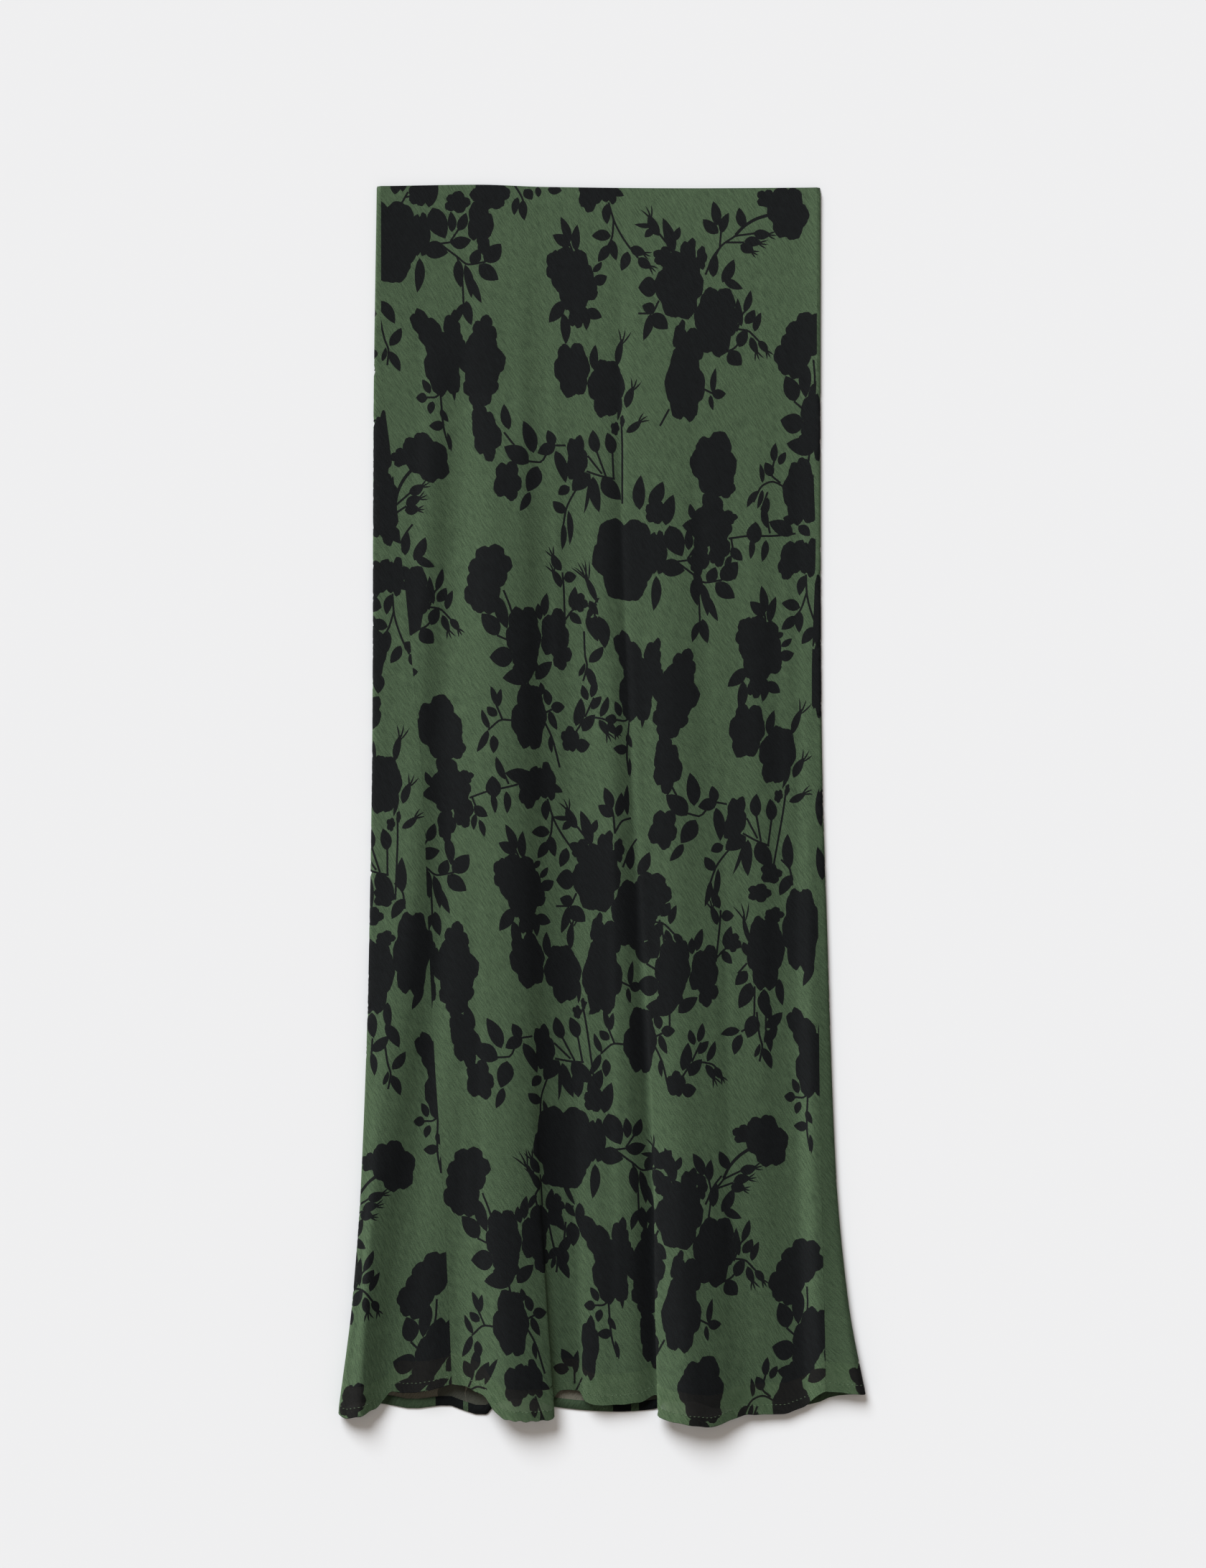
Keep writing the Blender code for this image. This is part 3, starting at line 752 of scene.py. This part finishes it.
         (133, 563, 15, 12)),
        ((147, 532, 137, 548, 9), (145, 527, 143, 500, 9), (163, 597, 156, 618, 7),
         (115, 615, 106, 635, 11), (112, 606, 103, 617, 9), (125, 620, 128, 640, 9),
         (137, 612, 140, 633, 7), (118, 640, 113, 658, 12), (107, 652, 92, 655, 7),
         (108, 655, 103, 671, 8), (127, 650, 140, 638, 9), (127, 651, 131, 669, 6)),
        (),
        (((118, 618), (118, 645), (108, 653)), ((127, 640), (127, 652)),
         ((138, 520), (145, 528), (147, 540)), ((112, 600), (105, 608))),
    ),
    "three leaves": Bunch(
        (8, 478),
        (),
        ((8, 487, -3, 478, 9), (7, 482, 2, 464, 8), (12, 487, 15, 468, 8), (20, 486, 20, 462, 5)),
        (),
        (((10, 500), (9, 488), (7, 478)), ((10, 499), (16, 490), (23, 488))),
    ),
    "petals at the waist": Bunch(
        (-90, 10),
        ((-87, 6, 30, 24), (-94, 27, 19, 38, 5), (-92, 43, 10, 20), (-112, 12, 19, 16)),
        ((-60, 2, -54, 10, 8), (-65, 8, -68, 22, 6), (-61, 10, -60, 26, 7), (-50, 0, -49, 8, 5),
         (-42, 2, -31, 3, 8), (-160, -4, -160, 6, 8)),
        (),
        (((-68, -2), (-62, 8), (-60, 14)), ((-155, 13), (-150, 4)), ((-152, 8), (-142, 6))),
    ),
    "leaves above the hem": Bunch(
        (-28, 810),
        ((-36, 790, 10, 24), (-9, 897, 14, 48)),
        ((-17, 785, -18, 804, 8), (-24, 800, -22, 819, 11), (-33, 820, -42, 829, 7),
         (-30, 820, -31, 836, 9), (-22, 912, -32, 898, 9), (-26, 914, -39, 912, 9),
         (-21, 917, -19, 899, 6)),
        (),
        (((-28, 800), (-30, 822)), ((-15, 920), (-22, 932)), ((-22, 925), (-22, 912))),
    ),
    "roses on the left fold": Bunch(
        (-168, 250),
        ((-170, 206, 16, 60), (-168, 250, 24, 58), (-188, 840, 8, 34)),
        ((-162, 224, -160, 240, 7), (-163, 262, -155, 276, 9), (-172, 376, -172, 392, 9),
         (-175, 400, -171, 412, 6)),
        (),
        (),
    ),
    "corner rose": Bunch(
        (0, 0),
        ((0, 0, 21, 28),),
        (),
        (),
        (),
    ),
    "roses on the right fold": Bunch(
        (165, 355),
        ((166, 330, 13, 60), (166, 380, 13, 58), (171, 622, 12, 72), (166, 186, 12, 50)),
        ((165, 495, 165, 465, 5), (163, 536, 161, 510, 8), (168, 548, 168, 532, 5),
         (167, 760, 167, 736, 5), (174, 812, 172, 800, 7), (192, 918, 192, 896, 6),
         (185, 930, 184, 922, 5)),
        (),
        (),
    ),
}


def shapes_of(bunch):
    """All outlines of a bunch, around its middle."""
    shapes = [rose(*row) for row in bunch.roses] + [leaf(*row) for row in bunch.leaves]
    for row in bunch.buds:
        shapes += bud(*row)
    shapes += [stem(corners) for corners in bunch.twigs]
    return [shape - bunch.middle for shape in shapes]


SHAPES = {name: shapes_of(bunch) for name, bunch in BUNCHES.items()}
print({name: len(shapes) for name, shapes in SHAPES.items()})

# %% [markdown]
# The bunches are set out over the skirt as it lies. The table gives where each one's middle shows
# from above, and how far it is turned, as the flared panels turn the repeat. Its place on the flat
# cloth is looked up from there, so a bunch on a fold is drawn whole and then bends with the cloth.
# The left strip that shows beside the seam belongs to the back panel and has its own bunches.

# %% Where the bunches lie
Place = namedtuple("Place", "bunch x depth turn", defaults=(0,))
FACES_UP = 0.2
EDGE_ROOM = 5.0
FRONT_PLACES = [Place(*row) for row in (
    ("petals at the waist", -90, 10),
    ("petals with hanging twig", -3, 4),
    ("rose with spray", -158, 44),
    ("winged pair", -110, 131),
    ("lone rose", -23, 70),
    ("chain of leaves", -23, 142),
    ("double rose", 74, 92),
    ("rose on a twig", 144, 21),
    ("rose above a pair", 156, 121, 17),
    ("rose on a twig", -135, 210, -33),
    ("rose and petals", 86, 217),
    ("rose with side twig", 156, 235),
    ("petals with hanging twig", 152, 290, 14),
    ("rose with spray", 25, 290),
    ("double rose", -164, 307),
    ("rose above a pair", -87, 302),
    ("lower rose", -56, 410),
    ("lone rose", 122, 356, 12),
    ("winged pair", 41, 385, 10),
    ("chain of leaves", 112, 421, 10),
    ("rose and petals", -125, 421, -12),
    ("leaf cluster", -20, 427),
    ("petals with hanging twig", -50, 465),
    ("rose with spray", -182, 516),
    ("three leaves", 8, 478),
    ("lone rose", -63, 539, -3),
    ("double rose", 10, 550),
    ("chain of leaves", -57, 598, -8),
    ("winged pair", -130, 601, -4),
    ("rose above a pair", 35, 555, 8),
    ("rose below the chain", 136, 585),
    ("lower rose", 30, 660),
    ("winged pair", 177, 674, 5),
    ("leaf cluster", 62, 693),
    ("rose on a twig", 128, 738, -18),
    ("rose with spray", -22, 744),
    ("rose above a pair", -103, 767),
    ("double rose", 73, 810),
    ("leaves above the hem", -28, 810),
    ("winged pair", 20, 832),
    ("rose above a pair", 152, 837, 17),
    ("lower rose", -70, 877),
    ("petals with hanging twig", -60, 925),
    ("three leaves", -97, 912, 30),
    ("rose and petals", 76, 930),
    ("rose with side twig", 148, 941),
)]
FOLD_PLACES = [Place(*row) for row in (
    ("roses on the left fold", -168, 250),
    ("petals with hanging twig", -168, 305, 12),
    ("chain of leaves", -194, 448),
    ("rose below the chain", -165, 603),
    ("winged pair", -109, 690),
    ("rose on a twig", -160, 757, -25),
    ("double rose", -216, 833),
    ("rose above a pair", -134, 847, 12),
    ("corner rose", -192, 937),
    ("corner rose", 202, 924),
    ("roses on the right fold", 165, 355),
)]
print(len(FRONT_PLACES), "bunches on the front,", len(FOLD_PLACES), "on the folds of the back")


def flat_across(panel, x, depth):
    """How far across the flat cloth a point lies that shows at x from above. Past the edge of what
    shows, the cloth is taken to run on."""
    row = int(round((depth - panel.depths[0]) / TABLE_STEP))
    seen = panel.normals[row, :, 2] > FACES_UP
    if panel.name == "back":
        seen &= panel.points[row, :, 0] * x > 0
    order = np.argsort(panel.points[row, seen, 0])
    along = panel.points[row, seen, 0][order]
    flat = panel.across[row, seen][order]
    return float(np.interp(x, along, flat) + x - np.clip(x, along[0], along[-1]))


def laid_out(panel, places):
    found = []
    for place in places:
        move = (flat_across(panel, place.x, place.depth), place.depth)
        found += [turned(shape, place.turn) + move for shape in SHAPES[place.bunch]]
    return within(panel, found)


def within(panel, shapes):
    """The outlines that reach the panel."""
    low = np.array([panel.across.min(), -EDGE_ROOM])
    high = np.array([panel.across.max(), HEM_BOTTOM + EDGE_ROOM])
    return [s for s in shapes if (s.max(axis=0) > low).all() and (s.min(axis=0) < high).all()]


# %% Under the skirt the back has the same bunches, moved over
BACK_MOVE = (-38.0, 121.0)
BACK_WRAP = HEM_BOTTOM + 30
REPEAT_ACROSS = 370


def under_the_skirt(panel, shape):
    """Whether the outline's middle lies on the part of the panel that faces the table."""
    across, depth = shape.mean(axis=0)
    row = int(np.clip(round((depth - panel.depths[0]) / TABLE_STEP), 0, len(panel.depths) - 1))
    below = panel.across[row, panel.points[row, :, 2] < CLOTH / 2 + ON_TABLE]
    return below.min() < across < below.max()


def on_the_back(panel):
    found = []
    for place in FRONT_PLACES:
        down = (place.depth + BACK_MOVE[1]) % BACK_WRAP
        for side in (-REPEAT_ACROSS, 0, REPEAT_ACROSS):
            move = (-place.x + BACK_MOVE[0] + side, down)
            found += [turned(shape, place.turn) + move for shape in SHAPES[place.bunch]]
    return [shape for shape in within(panel, found) if under_the_skirt(panel, shape)]


FRONT_PRINT = laid_out(FRONT, FRONT_PLACES)
BACK_PRINT = on_the_back(BACK) + laid_out(BACK, FOLD_PLACES)
print(len(FRONT_PRINT), "motifs meet the front,", len(BACK_PRINT), "the back")

# %% [markdown]
# A triangulation keeps the outlines as edges. The points between them stand closer where the cloth
# turns, and far apart where it lies hidden on the table. The outer and inner face share one
# triangulation, so that the shell closes along its rim. The cloth is half a millimetre thick here,
# close to real crepe.

# %% Cut the print into a panel
GRID_MM, GRID_ON_TABLE, HEM_STEP = 4.4, 13.2, 2.5
TURN_PER_COLUMN = 0.30
RIM_CLEAR, LINE_CLEAR, MERGE_MM = 1.5, 0.9, 1e-3
PAST_EDGE = 40.0
SHARP_DEGREES = 50
SHEER_FROM = 2 * CLOTH
SHEER_WIDTH = 24.0
CREPE_THICK = 0.5
OUTER, INNER = CLOTH / 2, CLOTH / 2 - CREPE_THICK


def outline(panel):
    """The panel's edge on the flat cloth: waist, right side, hem, left side."""
    waist = resample(panel.waist_across, panel.waist_depth, GRID_MM)
    hem = resample(panel.hem_across, panel.hem_depth, HEM_STEP)
    sides = []
    for end, top, low in ((-1, waist[-1], hem[-1]), (0, waist[0], hem[0])):
        depth = np.arange(top[1] + GRID_MM, low[1] - GRID_MM / 2, GRID_MM)
        across = np.interp(depth, panel.depths, panel.across[:, end])
        sides.append(np.stack([across, depth], axis=1))
    return np.concatenate([waist, sides[0], hem[::-1], sides[1][::-1]])


def resample(across, depth, step):
    """The line through the given points, with points a step apart."""
    length = np.concatenate([[0], np.cumsum(np.hypot(np.diff(across), np.diff(depth)))])
    at = np.linspace(0, length[-1], int(length[-1] / step) + 1)
    return np.stack([np.interp(at, length, across), np.interp(at, length, depth)], axis=1)


def inner_points(panel):
    """Points within the panel, in rows. They stand closer where the section turns, and far apart
    where the cloth lies flat on the table."""
    found = []
    for count, depth in enumerate(np.arange(1.0, HEM_BOTTOM, GRID_MM)):
        row = int(round((depth - panel.depths[0]) / TABLE_STEP))
        across, point = panel.across[row], panel.points[row]
        heading = np.unwrap(np.arctan2(*np.diff(point[:, [2, 0]], axis=0).T))
        bend = np.concatenate([[0, 0], np.abs(np.diff(heading))])
        spacing = np.where(point[:, 2] < CLOTH / 2 + ON_TABLE, GRID_ON_TABLE, GRID_MM)
        effort = np.cumsum(np.gradient(across) / spacing + bend / TURN_PER_COLUMN)
        stops = np.arange(0.5 + 0.5 * (count % 2), effort[-1], 1.0)
        at = np.interp(stops, effort, across)
        inside = (at > across[0] + RIM_CLEAR) & (at < across[-1] - RIM_CLEAR)
        inside &= depth > np.interp(at, panel.waist_across, panel.waist_depth) + RIM_CLEAR
        inside &= depth < np.interp(at, panel.hem_across, panel.hem_depth) - RIM_CLEAR
        found.append(np.stack([at, np.full(len(at), depth)], axis=1)[inside])
    return np.concatenate(found)


def sheer_band(panel):
    """The strip above the hem where the cloth is single, drawn past the panel's edge."""
    order = np.argsort(panel.hem_across)
    across, depth = panel.hem_across[order], panel.hem_depth[order]
    line = resample(across, depth - SHEER_WIDTH, GRID_MM)
    left, right, low = across[0] - PAST_EDGE, across[-1] + PAST_EDGE, HEM_BOTTOM + PAST_EDGE
    ends = [[right, line[-1, 1]], [right, low], [left, low]]
    return np.concatenate([[[left, line[0, 1]]], line, ends])


def area_of(shape):
    """Area of an outline, below 0 where it runs clockwise."""
    x, y = shape.T
    return float(x @ np.roll(y, -1) - y @ np.roll(x, -1)) / 2


def cut(panel, motifs):
    """Triangles of the flat panel: points, corners, and for each whether it is printed or sheer.
    The triangulation takes what lies left of each outline as its inside, so all are turned the
    same way."""
    shapes = [outline(panel), sheer_band(panel), *motifs]
    shapes = [shape if area_of(shape) > 0 else shape[::-1] for shape in shapes]
    corners = np.concatenate(shapes)
    tree = kdtree.KDTree(len(corners))
    for index, corner in enumerate(corners):
        tree.insert((*corner, 0), index)
    tree.balance()
    grid = [point for point in inner_points(panel) if tree.find((*point, 0))[2] > LINE_CLEAR]
    ends = np.cumsum([0, *(len(shape) for shape in shapes)])
    faces = [list(range(start, end)) for start, end in zip(ends[:-1], ends[1:])]
    points = [Vector(point) for point in np.concatenate([corners, grid])]
    points, _, triangles, _, _, owners = delaunay_2d_cdt(points, [], faces, 0, MERGE_MM, True)
    kept = [(triangle, owner) for triangle, owner in zip(triangles, owners) if 0 in owner]
    printed = np.array([any(index > 1 for index in owner) for _, owner in kept])
    sheer = np.array([1 in owner for _, owner in kept])
    flat = np.array([point[:] for point in points])
    return flat, np.array([triangle for triangle, _ in kept]), printed, sheer


# %% Close a cut panel into a thin shell
def add_piece(name, points, faces, slots, flat):
    """A piece of the skirt. flat says where each point lies on the flat cloth, for its weave."""
    mesh = bpy.data.meshes.new(name)
    mesh.from_pydata(points.tolist(), [], faces)
    mesh.polygons.foreach_set("material_index", np.asarray(slots, np.int32))
    corner = np.empty(len(mesh.loops), np.int32)
    mesh.loops.foreach_get("vertex_index", corner)
    uv = (flat[corner] * (MM, -MM)).astype(np.float32)
    mesh.uv_layers.new(name="Flat cloth").data.foreach_set("uv", uv.ravel())
    mesh.shade_smooth()
    piece = bpy.data.objects.new(name, mesh)
    bpy.context.scene.collection.objects.link(piece)
    return piece


def shell(name, panel, flat, triangles, slot, slot_inside):
    """A closed shell from flat triangles. slot and slot_inside give each one's material, outside
    and inside."""
    used, triangles = np.unique(triangles, return_inverse=True)
    triangles = triangles.reshape(-1, 3)
    flat = flat[used]
    a, b, c = (flat[triangles[:, i]] for i in range(3))
    area = np.cross(b - a, c - a)
    triangles[area > 0] = triangles[area > 0][:, ::-1]
    outer, _ = lay_on(panel, flat[:, 0], flat[:, 1], OUTER)
    inner, _ = lay_on(panel, flat[:, 0], flat[:, 1], INNER)
    count = len(flat)
    sides = np.concatenate([triangles[:, [0, 1]], triangles[:, [1, 2]], triangles[:, [2, 0]]])
    key = np.sort(sides, axis=1)
    _, first, times = np.unique(key, axis=0, return_index=True, return_counts=True)
    rim = sides[first[times == 1]]
    rim_slot = np.concatenate([slot, slot, slot])[first[times == 1]]
    rim_faces = np.stack([rim[:, 1], rim[:, 0], rim[:, 0] + count, rim[:, 1] + count], axis=1)
    faces = [*triangles.tolist(), *(triangles[:, ::-1] + count).tolist(), *rim_faces.tolist()]
    slots = np.concatenate([slot, slot_inside, rim_slot])
    piece = add_piece(
        name, np.concatenate([outer, inner]), faces, slots, np.concatenate([flat, flat]))
    piece.data.set_sharp_from_angle(angle=math.radians(SHARP_DEGREES))
    area_m2 = float(np.abs(area).sum()) / 2 * MM ** 2
    print(name, len(faces), "faces, flat area", round(area_m2, 4), "m2")
    return piece


# The slot after each of these is for the print on that ground
GROUND, SHEER_GROUND, WRONG_GROUND = 0, 2, 4


def dressed_panel(name, panel, motifs):
    flat, triangles, printed, sheer = cut(panel, motifs)
    slot = np.where(sheer, SHEER_GROUND, GROUND) + printed
    middles = flat[triangles].mean(axis=1)
    laid, _ = lay_on(panel, middles[:, 0], middles[:, 1], 0.0)
    upper = laid[:, 2] > SHEER_FROM * MM
    inside = np.where(sheer & upper, SHEER_GROUND, WRONG_GROUND) + printed
    return shell(name, panel, flat, triangles, slot, inside)


front = dressed_panel("Front_panel", FRONT, FRONT_PRINT)
back = dressed_panel("Back_panel", BACK, BACK_PRINT)

# %% [markdown]
# Crepe is woven from hard-twisted yarn, which draws the cloth into fine crooked ridges that run
# slantwise. They scatter the light, so the cloth is matt, and each ridge shows as a faint streak,
# about a millimetre wide and a centimetre long. One noise, stretched along the slant, and a finer
# one for the yarns give both the relief and the slight change of colour.

# %% The crepe and its print
STREAK_ACROSS_M, STREAK_ALONG_M = 0.0009, 0.009
STREAK_SLANT = math.radians(-56)
RELIEF_M = 0.00035


def crepe(name, dark, light, sheer=1.0, roughness=0.88):
    """Crepe with slanted streaks between two colours. sheer is its cover: 1 hides all."""
    material = bpy.data.materials.new(name)
    material.use_nodes = True
    tree = material.node_tree
    shader = tree.nodes["Principled BSDF"]
    flat = add_node(tree, "ShaderNodeUVMap", uv_map="Flat cloth")
    slant = add_node(
        tree, "ShaderNodeMapping", {"Vector": flat.outputs["UV"]}, vector_type="TEXTURE",
        Rotation=(0, 0, STREAK_SLANT), Scale=(STREAK_ALONG_M, STREAK_ACROSS_M, 1),
    )
    streak = add_node(
        tree, "ShaderNodeTexNoise", {"Vector": slant.outputs["Vector"]}, noise_dimensions="2D",
        Scale=1.0, Detail=2.0, Roughness=0.55, Distortion=0.25,
    )
    grain = add_node(
        tree, "ShaderNodeTexNoise", {"Vector": flat.outputs["UV"]}, noise_dimensions="2D",
        Scale=1300.0, Detail=1.0,
    )
    both = add_node(
        tree, "ShaderNodeMix", {"A": streak.outputs["Fac"], "B": grain.outputs["Fac"]},
        data_type="FLOAT", Factor=0.42,
    )
    shade = add_node(
        tree, "ShaderNodeMapRange", {"Value": both.outputs["Result"]}, From_Min=0.34, From_Max=0.66,
    )
    tint = add_node(tree, "ShaderNodeMix", {"Factor": shade.outputs["Result"]}, data_type="RGBA")
    tint.inputs[6].default_value = colour(dark)
    tint.inputs[7].default_value = colour(light)
    relief = add_node(
        tree, "ShaderNodeBump", {"Height": both.outputs["Result"]}, Strength=0.8, Distance=RELIEF_M,
    )
    tree.links.new(tint.outputs[2], shader.inputs["Base Color"])
    tree.links.new(relief.outputs["Normal"], shader.inputs["Normal"])
    shader.inputs["Roughness"].default_value = roughness
    shader.inputs["Specular IOR Level"].default_value = 0.06
    shader.inputs["Alpha"].default_value = sheer
    return material


FINISHES = (
    crepe("Printed crepe, green ground", "#283426", "#3A4936"),
    crepe("Printed crepe, black print", "#090A0B", "#0F1112"),
    crepe("Printed crepe, green ground, single layer", "#30402D", "#475741", 0.72),
    crepe("Printed crepe, black print, single layer", "#101010", "#171716", 0.82),
    crepe("Printed crepe, wrong side", "#57554B", "#6E6B5F"),
    crepe("Printed crepe, wrong side of the print", "#3A3B35", "#474840"),
)


def dress(piece, finishes):
    for finish in finishes:
        piece.data.materials.append(finish)


dress(front, FINISHES)
dress(back, FINISHES)
print(len(FINISHES), "finishes of the crepe")

# %% [markdown]
# The hem is the cloth's edge turned over twice and stitched. It shows as a narrow double band
# along each edge, rounded at the fold. One closed profile, swept along the hem, gives the band and
# wraps the panel's raw rim. A row of stitches, each a long grain of thread, runs along its top.

# %% Turned hems
PROFILE = (
    (-0.1, 0.64), (0.25, 0.5), (0.42, 0.1), (0.36, -0.35), (0.05, -0.62), (-3.5, -0.68),
    (-6.9, -0.62), (-7.0, -0.30), (-3.5, -0.26), (-0.3, -0.24), (0.02, 0.05),
)
BAND_STEP = 2.0
PRINT_READ_UP = 3
STITCH_SLOT = 2
STITCH_LONG, STITCH_WIDE, STITCH_HIGH, STITCH_PITCH = 2.4, 0.5, 0.2, 3.3
GRAIN = np.array([(-1, 0, 0), (1, 0, 0), (0, 1, 0), (0, 0, 1), (0, -1, 0), (0, 0, -1)]) / 2
GRAIN_FACES = (
    (0, 3, 2), (0, 4, 3), (0, 5, 4), (0, 2, 5), (1, 2, 3), (1, 3, 4), (1, 4, 5), (1, 5, 2),
)


def stitches(panel):
    """A row of stitches, each a long grain half sunk in the panel's face, along the top of the
    hem. Gives their points on the flat cloth, how far out each lies, and the faces."""
    steps = np.hypot(np.diff(panel.hem_across), np.diff(panel.hem_depth))
    length = np.concatenate([[0], np.cumsum(steps)])
    middles = np.arange(STITCH_PITCH, length[-1] - STITCH_PITCH, STITCH_PITCH)
    across = np.interp(middles, length, panel.hem_across)
    depth = np.interp(middles, length, panel.hem_depth) - HEM_WIDTH
    shape = GRAIN * (STITCH_LONG, STITCH_WIDE, STITCH_HIGH * 2)
    flat = np.stack([across, depth], axis=1)[:, None] + shape[None, :, :2]
    out = np.tile(OUTER + shape[:, 2], len(middles))
    faces = [
        tuple(len(GRAIN) * count + corner for corner in face)
        for count in range(len(middles)) for face in GRAIN_FACES
    ]
    return flat.reshape(-1, 2), out, faces


def hem_band(name, panel, motifs, finishes):
    """Sweeps the profile along the panel's hem. Each profile point is (down, out) from the edge."""
    edge = resample(panel.hem_across, panel.hem_depth, BAND_STEP)[1:-1]
    rings = [lay_on(panel, edge[:, 0], edge[:, 1] + down, out)[0] for down, out in PROFILE]
    count, around = len(edge), len(PROFILE)
    faces = []
    for row in range(count - 1):
        for column in range(around):
            here, after = row * around + column, row * around + (column + 1) % around
            faces.append((here, after, after + around, here + around))
    faces.append(tuple(range(around))[::-1])
    faces.append(tuple((count - 1) * around + column for column in range(around)))
    grain_flat, grain_out, grain_faces = stitches(panel)
    grains, _ = lay_on(panel, grain_flat[:, 0], grain_flat[:, 1], grain_out)
    faces += [tuple(corner + count * around for corner in face) for face in grain_faces]
    points = np.concatenate([np.array(rings).transpose(1, 0, 2).reshape(-1, 3), grains])
    downs = np.array([(0, down) for down, _ in PROFILE])
    flat = np.repeat(edge, around, axis=0) + np.tile(downs, (count, 1))
    printed = inside_any(edge[:-1] - (0, PRINT_READ_UP), motifs)
    slots = [*np.repeat(printed, around).astype(int), 0, 0] + [STITCH_SLOT] * len(grain_faces)
    piece = add_piece(name, points, faces, slots, np.concatenate([flat, grain_flat]))
    dress(piece, finishes)
    return piece


def inside_any(points, shapes):
    """Whether each point lies within any of the outlines."""
    found = np.zeros(len(points), bool)
    for shape in shapes:
        low, high = shape.min(axis=0), shape.max(axis=0)
        near = np.flatnonzero(((points > low) & (points < high)).all(axis=1) & ~found)
        if not len(near):
            continue
        x, y = points[near, 0][:, None], points[near, 1][:, None]
        x0, y0 = shape.T
        x1, y1 = np.roll(shape, -1, axis=0).T
        crosses = (y0 > y) != (y1 > y)
        at = x0 + (y - y0) * (x1 - x0) / np.where(y1 == y0, 1, y1 - y0)
        found[near] = (crosses & (x < at)).sum(axis=1) % 2 == 1
    return found


THREAD = crepe("Sewing thread, green", "#3E4C3A", "#495845", roughness=0.7)
HEM_FINISHES = (*FINISHES[:2], THREAD)
front_hem = hem_band("Front_hem", FRONT, FRONT_PRINT, HEM_FINISHES)
back_hem = hem_band("Back_hem", BACK, BACK_PRINT, HEM_FINISHES)
print("hem bands:", len(front_hem.data.polygons), "and", len(back_hem.data.polygons), "faces")

# %% [markdown]
# Every piece rides on the one body and takes the place of its solid.

# %% Put each piece on the body, in place of its solid, and under the cloth lamps
for piece, node, slot_name in (
    (front, "front_panel", "printed_crepe"),
    (back, "back_panel", "printed_crepe"),
    (front_hem, "front_hem", "turned_hem"),
    (back_hem, "back_hem", "turned_hem"),
):
    SKIRT_ONLY.objects.link(piece)
    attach(piece, "root")
    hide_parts(node)
